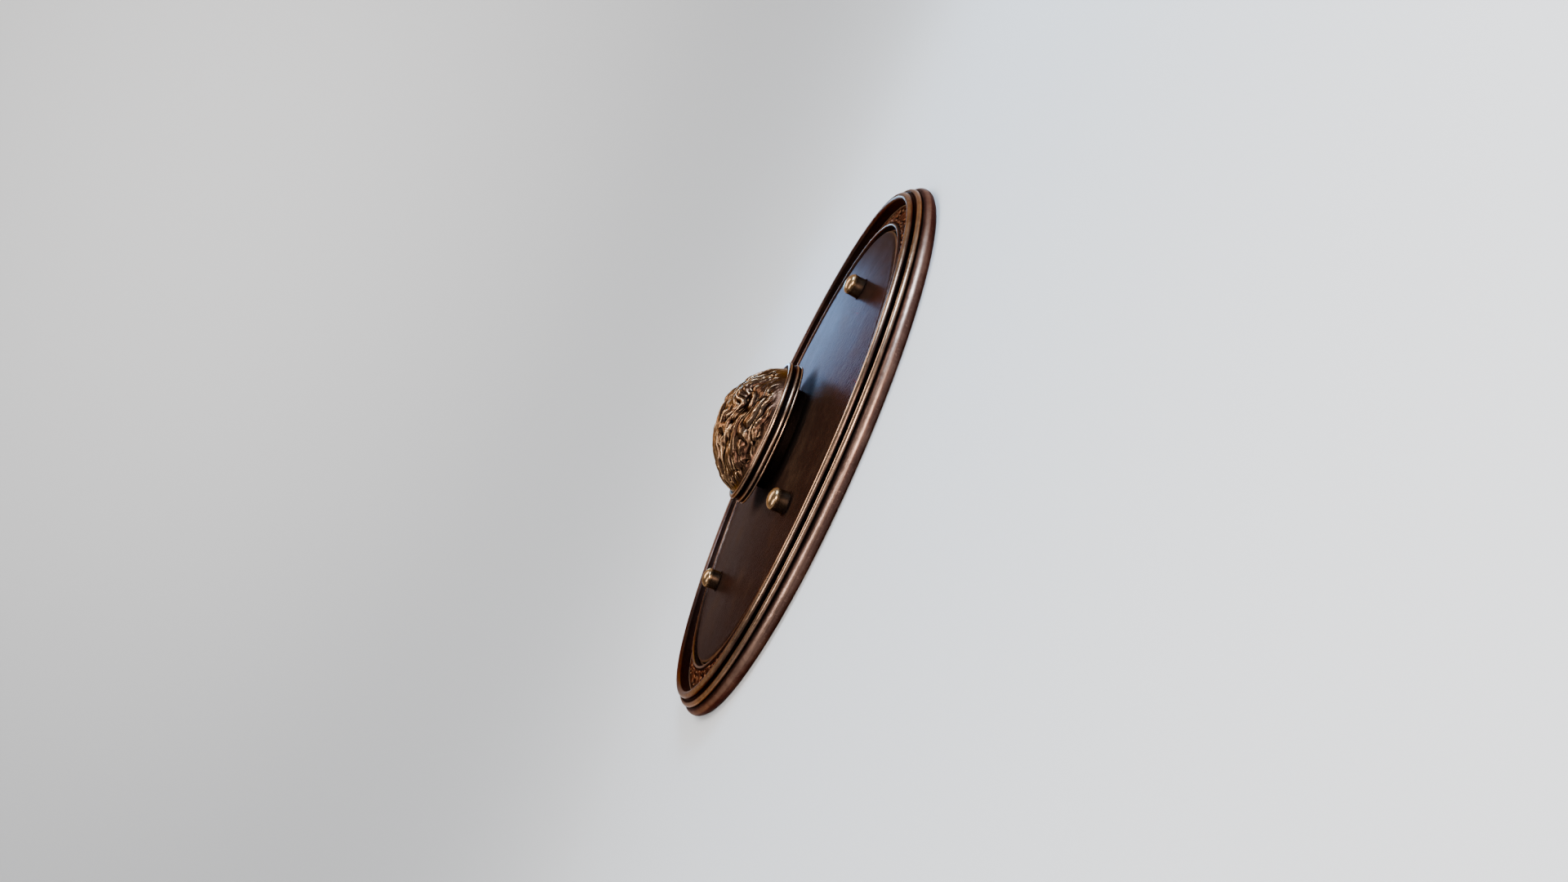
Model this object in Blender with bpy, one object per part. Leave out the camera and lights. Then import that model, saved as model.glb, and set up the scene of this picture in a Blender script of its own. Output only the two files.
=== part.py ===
"""A round bronze shield, 600 mm across, lying on the back edge of its rim with the boss up.

The plate is one casting: a shallow domed field, a carved channel round it, and a deep rim with two beads
round its shoulder. A hollow domed boss stands over the hand hole. Its sleeve passes through the plate and is
rolled outwards behind it, as an eyelet is. Four studs are riveted through the field, and two of them hold the
ends of the grip that crosses the hand hole at the back.

Metres, +Z up. The origin is on the boss's axis, in the plane that the rim's back edge rests on. +X runs
along the grip, through the first stud.
"""

import math

import bmesh
import bpy
from mathutils import Matrix, Vector

MM = 0.001
FIT_GAP = 0.3 * MM  # left between pieces that touch

# Rim
RIM_RADIUS = 300 * MM
RIM_HEIGHT = 26 * MM  # from the back edge to the inner bead's crest
RIM_WALL = 11 * MM
SIDE_ROLL_RADIUS = 6.8 * MM  # the half-round band round the outside
OUTER_BEAD_INSET = 8.2 * MM  # from the rim's outside to the bead's centre
OUTER_BEAD_RADIUS = 3.2 * MM
INNER_BEAD_INSET = 15.4 * MM
INNER_BEAD_RADIUS = 3.9 * MM

# Carved channel between the rim and the field
PLATE_WALL = 2.2 * MM
CHANNEL_FLOOR = 13 * MM  # height over the back edge
RIDGE_INSET = 45.6 * MM
RIDGE_HEIGHT = 20.3 * MM
RIDGE_ROUND = 1.6 * MM
QUIRK_WIDTH = 5 * MM  # the narrow groove inside the ridge
LEAF_COUNT = 32
LEAF_RELIEF = 1.3 * MM

# Field
LIP_WIDTH = 9 * MM
LIP_DROP = 2.4 * MM
FIELD_EDGE_HEIGHT = 19 * MM
FIELD_RISE = 7.3 * MM  # from the field's edge to its centre, were it whole

# Boss
HAND_HOLE_RADIUS = 50 * MM
SLEEVE_WALL = 3.5 * MM
SLEEVE_ROLL = 3 * MM  # how far the sleeve's end is rolled out behind the plate
SLEEVE_ROLL_THICKNESS = 2 * MM
NECK_STEP = 3.1 * MM  # from the sleeve out to the neck
NECK_HEIGHT = 13.6 * MM
FLANGE_OVERHANG = 23.4 * MM  # of the lower bead past the neck
FLANGE_FLOOR = 4 * MM  # from the flange's underside up to the hollow over it
FILLET_HEIGHT = 2 * MM
LOWER_BEAD_RADIUS = 3.2 * MM
UPPER_BEAD_RADIUS = 3 * MM
BEAD_SPACE = 1.3 * MM
UPPER_BEAD_STEP_BACK = 0.6 * MM
DOME_SET_BACK = 7.4 * MM  # from the lower bead in to the foot of the dome
DOME_HEIGHT = 47.5 * MM
DOME_WALL = 4 * MM
LOCK_COUNT = 9  # broad locks of the carving, from side to side
LOCK_RELIEF = 1.5 * MM
CURL_RELIEF = 1.6 * MM
CARVING_TURN = math.radians(22.5)  # from the grip's line to the line that the locks run along

# Studs
STUD_COUNT = 4
STUD_CIRCLE_RADIUS = 182 * MM
STUD_RADIUS = 11 * MM
STUD_HEIGHT = 19 * MM
STUD_DOME = 7 * MM
STUD_COLLAR_RADIUS = 15.5 * MM
STUD_COLLAR_HEIGHT = 1.4 * MM
STUD_SHANK_RADIUS = 4.5 * MM
STUD_TAIL_RADIUS = 8 * MM
STUD_TAIL_HEIGHT = 2.6 * MM

# Grip
GRIP_END_MARGIN = 16 * MM  # past the stud's centre
GRIP_STRAP_WIDTH = 24 * MM
GRIP_STRAP_THICKNESS = 3.6 * MM
GRIP_HANDLE_WIDTH = 28 * MM
GRIP_HANDLE_THICKNESS = 17 * MM
GRIP_HANDLE_LENGTH = 98 * MM
GRIP_TAPER_LENGTH = 18 * MM
GRIP_BOW = 6.5 * MM  # how far the handle stands back from the straps

PLATE_SEGMENTS = 64
BOSS_SEGMENTS = 48
STUD_SEGMENTS = 12

# Finishes: base colour, roughness
DARK_BRONZE = ((0.070, 0.036, 0.026), 0.42)
GOLDEN_BRONZE = ((0.235, 0.130, 0.070), 0.38)
WORN_BRONZE = ((0.180, 0.105, 0.066), 0.34)

SLEEVE_RADIUS = HAND_HOLE_RADIUS + SLEEVE_WALL
NECK_RADIUS = SLEEVE_RADIUS + NECK_STEP
FLANGE_RADIUS = NECK_RADIUS + FLANGE_OVERHANG
DOME_BASE_RADIUS = FLANGE_RADIUS - DOME_SET_BACK
FIELD_RADIUS = RIM_RADIUS - RIDGE_INSET - RIDGE_ROUND - QUIRK_WIDTH
FIELD_FLAT_RADIUS = FIELD_RADIUS - LIP_WIDTH
PLATE_HOLE_RADIUS = SLEEVE_RADIUS + FIT_GAP


def clear_scene():
    for thing in list(bpy.data.objects):
        bpy.data.objects.remove(thing)


def bronze(name, finish):
    colour, roughness = finish
    material = bpy.data.materials.new(name)
    material.use_nodes = True
    shader = material.node_tree.nodes["Principled BSDF"]
    shader.inputs["Base Color"].default_value = (*colour, 1)
    shader.inputs["Metallic"].default_value = 1
    shader.inputs["Roughness"].default_value = roughness
    return material


def arc(centre, radius, start, end, steps, squash=1.0):
    """Points (radius from the axis, height) along an arc, angles in degrees up from +R."""
    points = []
    for i in range(steps + 1):
        a = math.radians(start + (end - start) * i / steps)
        points.append((centre[0] + radius * math.cos(a), centre[1] + radius * squash * math.sin(a)))
    return points


def facing(a, b):
    """The angle in degrees from point a to point b."""
    return math.degrees(math.atan2(b[1] - a[1], b[0] - a[0]))


def spun(name, profile, closed, segments):
    """The profile turned once round Z, as a bmesh."""
    shape = bmesh.new()
    points = [shape.verts.new((r, 0, z)) for r, z in profile]
    edges = [shape.edges.new(pair) for pair in zip(points, points[1:])]
    if closed:
        edges.append(shape.edges.new((points[-1], points[0])))
    bmesh.ops.spin(
        shape,
        geom=points + edges,
        cent=(0, 0, 0),
        axis=(0, 0, 1),
        angle=2 * math.pi,
        steps=segments,
        use_merge=True,
    )
    bmesh.ops.remove_doubles(shape, verts=shape.verts, dist=0.001 * MM)
    bmesh.ops.recalc_face_normals(shape, faces=shape.faces)
    return shape


def finished(name, shape, material, sharp_angle=35):
    """The bmesh as a named object with its material and smooth shading."""
    mesh = bpy.data.meshes.new(name)
    shape.to_mesh(mesh)
    shape.free()
    mesh.materials.append(material)
    mesh.shade_smooth()
    mesh.set_sharp_from_angle(angle=math.radians(sharp_angle))
    thing = bpy.data.objects.new(name, mesh)
    bpy.context.scene.collection.objects.link(thing)
    return thing


def field_height(r):
    """Height of the field's front over the back edge, at r from the axis."""
    return FIELD_EDGE_HEIGHT + FIELD_RISE * (1 - (r / FIELD_FLAT_RADIUS) ** 2)


def field_rows(start, end, rows, drop=0.0):
    radii = [start + (end - start) * i / (rows - 1) for i in range(rows)]
    return [(r, field_height(r) - drop) for r in radii]


def channel_rows():
    """Quirk, ridge and the cove that falls from the ridge to the foot of the inner bead."""
    ridge_radius = RIM_RADIUS - RIDGE_INSET
    ridge = (ridge_radius, RIDGE_HEIGHT - RIDGE_ROUND)
    wall_foot = RIM_RADIUS - INNER_BEAD_INSET - INNER_BEAD_RADIUS
    rows = [(FIELD_RADIUS + 0.3 * MM, CHANNEL_FLOOR + 0.6 * MM)]
    rows.append((ridge_radius - RIDGE_ROUND - 0.6 * MM, CHANNEL_FLOOR + 0.6 * MM))
    rows += arc(ridge, RIDGE_ROUND, 180, 40, 2)
    cove_start = ridge_radius + RIDGE_ROUND
    cove_width = wall_foot - cove_start
    fall = RIDGE_HEIGHT - RIDGE_ROUND - CHANNEL_FLOOR
    for share in (0.22, 0.5, 0.86):
        rows.append((cove_start + share * cove_width, CHANNEL_FLOOR + fall * (1 - share) ** 2.2))
    return rows


def rim_rows():
    """Both beads and the half-round side band, from the channel round to the back edge."""
    inner = (RIM_RADIUS - INNER_BEAD_INSET, RIM_HEIGHT - INNER_BEAD_RADIUS)
    outer = (RIM_RADIUS - OUTER_BEAD_INSET, 2 * SIDE_ROLL_RADIUS + OUTER_BEAD_RADIUS - 0.6 * MM)
    between = facing(inner, outer)
    roll = (RIM_RADIUS - SIDE_ROLL_RADIUS, SIDE_ROLL_RADIUS)
    rows = arc(inner, INNER_BEAD_RADIUS, 195, 90, 2)
    rows += arc(inner, INNER_BEAD_RADIUS, 90, between + 24, 3)[1:]
    rows += arc(outer, OUTER_BEAD_RADIUS, between + 180 - 26, -62, 4)
    rows += arc(roll, SIDE_ROLL_RADIUS, 72, 0, 2)
    rows += arc(roll, SIDE_ROLL_RADIUS, 0, -90, 3)[1:]
    return rows


def plate_profile():
    """The plate's closed section, outwards along the front and back along the underside."""
    lip = (FIELD_FLAT_RADIUS, FIELD_EDGE_HEIGHT - LIP_DROP)
    rim_inside = RIM_RADIUS - RIM_WALL
    under_bead = (RIM_RADIUS - INNER_BEAD_INSET, RIM_HEIGHT - 2 * INNER_BEAD_RADIUS - PLATE_WALL)
    under_floor = CHANNEL_FLOOR - PLATE_WALL
    profile = field_rows(PLATE_HOLE_RADIUS, FIELD_FLAT_RADIUS, 4)
    profile += arc(lip, LIP_WIDTH, 90, 0, 3, squash=LIP_DROP / LIP_WIDTH)[1:]
    profile += channel_rows()
    profile += rim_rows()
    profile.append((rim_inside, 0))
    profile.append((rim_inside, 1.3 * SIDE_ROLL_RADIUS))
    profile.append(under_bead)
    profile.append((RIM_RADIUS - INNER_BEAD_INSET - INNER_BEAD_RADIUS - PLATE_WALL, under_floor))
    profile.append((FIELD_RADIUS - PLATE_WALL, under_floor))
    profile.append((FIELD_RADIUS - PLATE_WALL - 1.2 * MM, FIELD_EDGE_HEIGHT - LIP_DROP - 1.6 * MM))
    profile += field_rows(FIELD_FLAT_RADIUS, PLATE_HOLE_RADIUS, 3, drop=PLATE_WALL)
    return profile


def carve_channel(shape):
    """Raises a round of leaves on the cove, one to every second segment."""
    start = RIM_RADIUS - RIDGE_INSET + RIDGE_ROUND + 0.5 * MM
    end = RIM_RADIUS - INNER_BEAD_INSET - INNER_BEAD_RADIUS - 0.5 * MM
    for vert in shape.verts:
        r = math.hypot(vert.co.x, vert.co.y)
        if start < r < end and vert.co.z > CHANNEL_FLOOR - 0.5 * PLATE_WALL:
            share = (r - start) / (end - start)
            turn = math.atan2(vert.co.y, vert.co.x) * LEAF_COUNT
            vert.co.z += LEAF_RELIEF * math.cos(turn) * math.sin(math.pi * share)


def stud_angle(index):
    return 2 * math.pi * index / STUD_COUNT


def stud_slope():
    """How steeply the field falls away outwards where the studs stand."""
    return 2 * FIELD_RISE * STUD_CIRCLE_RADIUS / FIELD_FLAT_RADIUS ** 2


def stud_place(index):
    """Where the stud's axis meets the field, and the turn that stands it square on the field."""
    angle = stud_angle(index)
    slope = math.atan(stud_slope())
    x = STUD_CIRCLE_RADIUS * math.cos(angle)
    y = STUD_CIRCLE_RADIUS * math.sin(angle)
    place = Vector((x, y, field_height(STUD_CIRCLE_RADIUS)))
    return place, Matrix.Rotation(angle, 4, "Z") @ Matrix.Rotation(slope, 4, "Y")


def make_hole_cutter():
    """One cylinder at each stud, longer than the plate is thick."""
    shape = bmesh.new()
    for i in range(STUD_COUNT):
        place, turn = stud_place(i)
        bmesh.ops.create_cone(
            shape,
            cap_ends=True,
            segments=STUD_SEGMENTS,
            radius1=STUD_SHANK_RADIUS + FIT_GAP,
            radius2=STUD_SHANK_RADIUS + FIT_GAP,
            depth=6 * PLATE_WALL,
            matrix=Matrix.Translation(place) @ turn,
        )
    mesh = bpy.data.meshes.new("stud_hole_cutter")
    shape.to_mesh(mesh)
    shape.free()
    cutter = bpy.data.objects.new("stud_hole_cutter", mesh)
    cutter.hide_render = True
    cutter.display_type = "WIRE"
    bpy.context.scene.collection.objects.link(cutter)
    return cutter


def make_plate(material):
    shape = spun("plate", plate_profile(), True, PLATE_SEGMENTS)
    carve_channel(shape)
    plate = finished("shield_plate", shape, material)
    holes = plate.modifiers.new("stud_holes", "BOOLEAN")
    holes.operation = "DIFFERENCE"
    holes.solver = "EXACT"
    holes.object = make_hole_cutter()
    return plate


def cap_sphere(base, height):
    """For a cap of that base radius and height, its sphere's radius and how far its centre is under the base."""
    radius = (base ** 2 + height ** 2) / (2 * height)
    return radius, radius - height


def boss_levels():
    """Heights of the boss's mouldings over the back edge."""
    foot = field_height(NECK_RADIUS) + FIT_GAP
    neck_top = foot + NECK_HEIGHT
    lower = neck_top + FILLET_HEIGHT + LOWER_BEAD_RADIUS
    upper = lower + LOWER_BEAD_RADIUS + UPPER_BEAD_RADIUS + BEAD_SPACE
    return foot, neck_top, lower, upper


def boss_profile():
    """The boss's section, from the dome's crown down the outside and back up inside to the crown."""
    foot, neck_top, lower_z, upper_z = boss_levels()
    dome_base = upper_z + 0.5 * UPPER_BEAD_RADIUS
    sphere, sink = cap_sphere(DOME_BASE_RADIUS, DOME_HEIGHT)
    hollow_radius = DOME_BASE_RADIUS - DOME_WALL
    inner_sphere, inner_sink = cap_sphere(hollow_radius, DOME_HEIGHT - DOME_WALL)
    centre = (0, dome_base - sink)
    inner_centre = (0, dome_base - inner_sink)
    base_angle = math.degrees(math.asin(sink / sphere))
    inner_angle = math.degrees(math.asin(inner_sink / inner_sphere))
    lower = (FLANGE_RADIUS - LOWER_BEAD_RADIUS, lower_z)
    upper = (FLANGE_RADIUS - UPPER_BEAD_STEP_BACK - UPPER_BEAD_RADIUS, upper_z)
    plate_top = field_height(SLEEVE_RADIUS)
    roll_top = plate_top - PLATE_WALL - FIT_GAP
    roll_end = roll_top - SLEEVE_ROLL_THICKNESS

    rows = arc(centre, sphere, 90, base_angle, 10)
    rows += arc(upper, UPPER_BEAD_RADIUS, 100, -60, 3)
    rows += arc(lower, LOWER_BEAD_RADIUS, 60, -60, 3)
    rows.append((FLANGE_RADIUS + 0.2 * MM, neck_top + FILLET_HEIGHT - 0.4 * MM))
    rows.append((FLANGE_RADIUS + 0.2 * MM, neck_top))
    rows.append((NECK_RADIUS, neck_top - 1.5 * MM))
    rows.append((NECK_RADIUS, foot))
    rows.append((SLEEVE_RADIUS, foot))
    rows.append((SLEEVE_RADIUS, roll_top))
    rows.append((SLEEVE_RADIUS + SLEEVE_ROLL, roll_top))
    rows.append((SLEEVE_RADIUS + SLEEVE_ROLL, roll_end))
    rows.append((HAND_HOLE_RADIUS, roll_end))
    rows.append((HAND_HOLE_RADIUS, neck_top + FLANGE_FLOOR))
    rows.append((hollow_radius, neck_top + FLANGE_FLOOR))
    rows += arc(inner_centre, inner_sphere, inner_angle, 90, 4)
    rows[0] = (0, rows[0][1])
    rows[-1] = (0, rows[-1][1])
    return rows, centre[1]


def lock_relief(x, y):
    """Broad form of the carving at a point of the dome's plan, in metres of height.

    The locks follow arcs that meet at the two ends of the line at CARVING_TURN, and a curl sits on either side.
    """
    across = x / DOME_BASE_RADIUS
    aside = y / DOME_BASE_RADIUS
    reach = 1.04
    lean = math.atan2(2 * reach * aside, reach ** 2 - across ** 2 - aside ** 2)
    locks = math.cos(LOCK_COUNT * lean + 1.4 * math.sin(3.1 * across))
    curl = 0.0
    for side in (-1, 1):
        away = math.hypot(across - 0.42, aside - 0.5 * side)
        curl += math.exp(-((away / 0.2) ** 2))
    edge = max(0.0, 1 - math.hypot(across, aside)) / 0.12
    return (LOCK_RELIEF * locks * (1 - min(curl, 1)) + CURL_RELIEF * curl) * min(1.0, edge)


def carve_boss(shape, centre_height):
    """Moves the dome's outside along the sphere's radius by the carving's relief."""
    sphere = cap_sphere(DOME_BASE_RADIUS, DOME_HEIGHT)[0]
    centre = Vector((0, 0, centre_height))
    spine = Matrix.Rotation(-CARVING_TURN, 3, "Z")
    for vert in shape.verts:
        outwards = vert.co - centre
        on_dome = abs(outwards.length - sphere) < 0.2 * MM and outwards.z > 0
        if on_dome and math.hypot(vert.co.x, vert.co.y) < DOME_BASE_RADIUS - 0.5 * MM:
            plan = spine @ vert.co
            vert.co += outwards.normalized() * lock_relief(plan.x, plan.y)


def make_boss(material):
    rows, centre_height = boss_profile()
    shape = spun("boss", rows, False, BOSS_SEGMENTS)
    carve_boss(shape, centre_height)
    return finished("boss", shape, material)


def stud_profile():
    """The stud's section from its crown, down to the clenched tail behind the plate or the grip."""
    crown = (0, STUD_HEIGHT - STUD_DOME)
    rows = arc(crown, STUD_RADIUS, 90, 0, 3, squash=STUD_DOME / STUD_RADIUS)
    rows[0] = (0, STUD_HEIGHT)
    rows.append((STUD_RADIUS, STUD_COLLAR_HEIGHT + 0.8 * MM))
    rows.append((STUD_COLLAR_RADIUS, STUD_COLLAR_HEIGHT))
    rows.append((STUD_COLLAR_RADIUS, FIT_GAP))
    rows.append((STUD_SHANK_RADIUS, FIT_GAP))
    return rows


def make_stud(index, behind, material):
    """A stud square on the field, whose tail closes over what is behind it."""
    tail_top = -behind - FIT_GAP
    rows = stud_profile()
    rows.append((STUD_SHANK_RADIUS, tail_top))
    rows.append((STUD_TAIL_RADIUS, tail_top))
    rows.append((0.6 * STUD_TAIL_RADIUS, tail_top - STUD_TAIL_HEIGHT))
    rows.append((0, tail_top - STUD_TAIL_HEIGHT))
    shape = spun("stud", rows, False, STUD_SEGMENTS)
    stud = finished(f"stud_{index + 1}", shape, material)
    place, turn = stud_place(index)
    stud.matrix_world = Matrix.Translation(place) @ turn
    return stud


def grip_strap_top():
    """The grip lies against the plate's underside at the studs, where the domed plate is lowest."""
    return field_height(STUD_CIRCLE_RADIUS + GRIP_END_MARGIN) - PLATE_WALL - FIT_GAP


def grip_back_depth():
    """From the field's front at a stud to behind the grip, with room for the stud's lean over its tail."""
    lean = stud_slope() * STUD_TAIL_RADIUS
    return field_height(STUD_CIRCLE_RADIUS) - grip_strap_top() + GRIP_STRAP_THICKNESS + lean


def grip_sections():
    """Along, width, thickness and middle height of each section from the centre to the end."""
    handle_end = GRIP_HANDLE_LENGTH / 2
    strap_start = handle_end + GRIP_TAPER_LENGTH
    strap_end = STUD_CIRCLE_RADIUS + GRIP_END_MARGIN
    strap_middle = grip_strap_top() - GRIP_STRAP_THICKNESS / 2
    half = GRIP_STRAP_WIDTH / 2
    handle = [(0, GRIP_HANDLE_WIDTH, GRIP_HANDLE_THICKNESS)]
    handle.append((0.6 * handle_end, 0.98 * GRIP_HANDLE_WIDTH, 0.97 * GRIP_HANDLE_THICKNESS))
    handle.append((handle_end, 0.86 * GRIP_HANDLE_WIDTH, 0.82 * GRIP_HANDLE_THICKNESS))
    strap = [(strap_start, GRIP_STRAP_WIDTH, GRIP_STRAP_THICKNESS)]
    strap.append((strap_end - half, GRIP_STRAP_WIDTH, GRIP_STRAP_THICKNESS))
    strap.append((strap_end - 0.29 * half, 0.7 * GRIP_STRAP_WIDTH, GRIP_STRAP_THICKNESS))
    strap.append((strap_end, 0.3 * GRIP_STRAP_WIDTH, GRIP_STRAP_THICKNESS))
    bowed = [(x, w, t, strap_middle - GRIP_BOW) for x, w, t in handle]
    return bowed + [(x, w, t, strap_middle) for x, w, t in strap]


def section_points(width, thickness):
    """A section's twelve points: oval at the handle, and a flat strap where it is thin."""
    points = []
    flat = thickness < 1.5 * GRIP_STRAP_THICKNESS
    for i in range(STUD_SEGMENTS):
        a = math.radians(15 + 30 * i)
        y = math.cos(a) / math.cos(math.radians(15))
        z = math.sin(a) / math.sin(math.radians(75))
        if flat:
            z = math.copysign(1, z) if abs(z) > 0.5 else math.copysign(0.55, z)
        points.append((y * width / 2, z * thickness / 2))
    return points


def make_grip(material):
    """The grip, lofted through its sections and mirrored across the boss's axis."""
    shape = bmesh.new()
    sections = grip_sections()
    mirrored = [(-x, w, t, z) for x, w, t, z in reversed(sections[1:])]
    rings = []
    for x, width, thickness, middle in mirrored + sections:
        points = section_points(width, thickness)
        rings.append([shape.verts.new((x, y, middle + z)) for y, z in points])
    for first, second in zip(rings, rings[1:]):
        for i in range(STUD_SEGMENTS):
            j = (i + 1) % STUD_SEGMENTS
            shape.faces.new((first[i], first[j], second[j], second[i]))
    shape.faces.new(rings[0])
    shape.faces.new(rings[-1])
    bmesh.ops.recalc_face_normals(shape, faces=shape.faces)
    grip = finished("grip", shape, material)
    for i in (0, STUD_COUNT // 2):
        place, turn = stud_place(i)
        drill = bmesh.new()
        bmesh.ops.create_cone(
            drill,
            cap_ends=True,
            segments=STUD_SEGMENTS,
            radius1=STUD_SHANK_RADIUS + FIT_GAP,
            radius2=STUD_SHANK_RADIUS + FIT_GAP,
            depth=12 * PLATE_WALL,
            matrix=Matrix.Translation(place) @ turn,
        )
        mesh = bpy.data.meshes.new("grip_drill")
        drill.to_mesh(mesh)
        drill.free()
        cutter = bpy.data.objects.new(f"grip_drill_{i + 1}", mesh)
        cutter.hide_render = True
        cutter.display_type = "WIRE"
        bpy.context.scene.collection.objects.link(cutter)
        hole = grip.modifiers.new(f"rivet_hole_{i + 1}", "BOOLEAN")
        hole.operation = "DIFFERENCE"
        hole.solver = "EXACT"
        hole.object = cutter
    return grip


def main():
    clear_scene()
    dark = bronze("dark_patinated_bronze", DARK_BRONZE)
    golden = bronze("cast_golden_bronze", GOLDEN_BRONZE)
    worn = bronze("worn_bronze", WORN_BRONZE)
    make_plate(dark)
    make_boss(golden)
    make_grip(worn)
    for i in range(STUD_COUNT):
        holds_grip = i % (STUD_COUNT // 2) == 0
        make_stud(i, grip_back_depth() if holds_grip else PLATE_WALL, worn)


main()
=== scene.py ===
"""The looks of a round bronze shield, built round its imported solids.

The shield lies on the back edge of its rim with the boss up. Sizes are in metres, in the row's frame: +Z out
of the shield's front along the boss's axis, +X along the grip.
"""

import math

import bmesh
import bpy
import numpy as np
from bpy.props import FloatProperty, FloatVectorProperty, IntProperty, PointerProperty
from mathutils import Matrix, Vector


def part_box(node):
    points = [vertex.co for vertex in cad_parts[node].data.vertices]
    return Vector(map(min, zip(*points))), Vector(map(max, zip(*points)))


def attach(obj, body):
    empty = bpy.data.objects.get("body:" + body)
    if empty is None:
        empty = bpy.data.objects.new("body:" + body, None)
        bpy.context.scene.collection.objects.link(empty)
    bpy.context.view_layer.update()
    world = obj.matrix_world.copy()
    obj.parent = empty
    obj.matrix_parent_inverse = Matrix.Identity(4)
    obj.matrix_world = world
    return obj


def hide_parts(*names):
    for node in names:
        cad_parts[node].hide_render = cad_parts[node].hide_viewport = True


bl_info = {
    "name": "Bronze shield",
    "version": (1, 0, 0),
    "blender": (4, 5, 0),
    "location": "3D View > Sidebar > Shield",
    "description": "Builds a cast and chased bronze shield with a carved boss",
    "category": "Object",
}

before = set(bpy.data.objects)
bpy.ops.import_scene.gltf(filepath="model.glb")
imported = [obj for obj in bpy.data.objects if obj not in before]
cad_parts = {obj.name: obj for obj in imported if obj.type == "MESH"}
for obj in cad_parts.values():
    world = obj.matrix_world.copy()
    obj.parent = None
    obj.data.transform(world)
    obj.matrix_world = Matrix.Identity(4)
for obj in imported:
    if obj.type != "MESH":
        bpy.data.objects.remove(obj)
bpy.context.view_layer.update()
PLATE_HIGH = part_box("shield_plate")[1]
BOSS_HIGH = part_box("boss")[1]

MM = 0.001


# Numbers


def smooth(low, high, x):
    """0 below low, 1 above high, and a smooth rise between."""
    t = np.clip((x - low) / (high - low), 0, 1)
    return t * t * (3 - 2 * t)


def lumps(points, size, seed):
    """Smooth noise from -1 to 1 at the points, in lumps about that size across."""
    side = 40
    lattice = np.random.default_rng(seed).random((side, side, side)) * 2 - 1
    place = np.asarray(points) / size + 500
    cell = np.floor(place).astype(int)
    share = place - cell
    share = share * share * (3 - 2 * share)
    total = 0
    for x in (0, 1):
        for y in (0, 1):
            for z in (0, 1):
                corner = np.array((x, y, z))
                weight = np.prod(np.where(corner, share, 1 - share), axis=-1)
                at = (cell + corner) % side
                total = total + weight * lattice[at[..., 0], at[..., 1], at[..., 2]]
    return total


def crease(values, soft):
    """The values' size, with the crease where they cross 0 rounded off over about soft."""
    return np.sqrt(np.asarray(values) ** 2 + soft ** 2) - soft


def arc(centre, radius, start, end, steps, squash=1.0):
    """Points (radius from the axis, height) along an arc, angles in degrees up from outwards."""
    angles = np.radians(np.linspace(start, end, steps + 1))
    across = centre[0] + radius * np.cos(angles)
    up = centre[1] + radius * squash * np.sin(angles)
    return list(zip(across, up))


def eased(points, radius, steps=4):
    """The open line through the points, each corner rounded off by up to half of its shorter side."""
    points = [np.array(p, float) for p in points]
    line = [points[0]]
    for before, corner, after in zip(points, points[1:], points[2:]):
        back, on = np.linalg.norm(before - corner), np.linalg.norm(after - corner)
        reach = min(radius, min(back, on) * 0.48)
        start = corner + (before - corner) / back * reach
        end = corner + (after - corner) / on * reach
        for t in np.linspace(0, 1, steps + 1):
            line.append((1 - t) ** 2 * start + 2 * t * (1 - t) * corner + t * t * end)
    line.append(points[-1])
    return [tuple(p) for p in line]


# Sizes that a user would change


def length(name, description, default):
    """A length, as a size to change."""
    return FloatProperty(name=name, description=description, default=default, unit="LENGTH")


def colour(name, description, default):
    """A linear colour to change."""
    return FloatVectorProperty(name=name, description=description, default=default, size=3, subtype="COLOR")


class ShieldPlateSizes(bpy.types.PropertyGroup):
    rim_radius: length("Rim radius", "From the boss's axis to the outside of the side band", PLATE_HIGH.x)
    rim_height: length("Rim height", "From the back edge to the crest of the inner bead", PLATE_HIGH.z)
    side_roll: length("Side band", "Radius of the half-round band round the outside", 6.8 * MM)
    outer_bead: length("Outer bead", "Radius of the outer bead", 3.2 * MM)
    inner_bead: length("Inner bead", "Radius of the inner bead", 3.9 * MM)
    ridge_inset: length("Ridge inset", "From the outside in to the ridge round the field", 45.6 * MM)
    field_rise: length("Field rise", "How far the field's middle stands over its edge", 7.3 * MM)
    leaf_count: IntProperty(
        name="Palmettes", description="How many palmettes run round the channel", default=32, min=8
    )
    leaf_relief: length("Channel relief", "How far the palmettes stand over the channel's floor", 2.4 * MM)


class ShieldBossSizes(bpy.types.PropertyGroup):
    hand_hole: length("Hand hole", "Radius of the hole for the fist", 50 * MM)
    flange: length("Flange", "Radius of the flange round the boss", 80 * MM)
    dome_height: length("Dome height", "From the flange to the crown", 47.5 * MM)
    lock_count: IntProperty(
        name="Locks", description="How many broad locks cross the dome", default=9, min=3
    )
    lock_relief: length("Lock relief", "Half the depth of the locks", 1.5 * MM)
    strand_relief: length("Strand relief", "Depth of the chased strands on the locks", 3.5 * MM)
    turn: FloatProperty(
        name="Turn",
        description="From the grip's line to the line that the locks run along",
        default=math.radians(22.5),
        subtype="ANGLE",
    )


class ShieldFittingSizes(bpy.types.PropertyGroup):
    stud_circle: length("Stud circle", "Radius that the studs stand on", 182 * MM)
    stud_radius: length("Stud radius", "Radius of each stud", 11 * MM)
    stud_height: length("Stud height", "From the field to a stud's crown", 19 * MM)
    grip_width: length("Grip width", "Width of the handle", 28 * MM)
    grip_thickness: length("Grip thickness", "Thickness of the handle", 17 * MM)


class ShieldFinish(bpy.types.PropertyGroup):
    patina: colour("Patina", "Colour of the dark patina on the field", (0.064, 0.036, 0.027))
    rubbed: colour("Rubbed bronze", "Colour of the field where it is worn bare", (0.55, 0.34, 0.17))
    floor: colour("Floor", "Colour of the studio floor", (0.66, 0.65, 0.64))


# Sizes that stay as the solids have them

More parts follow.
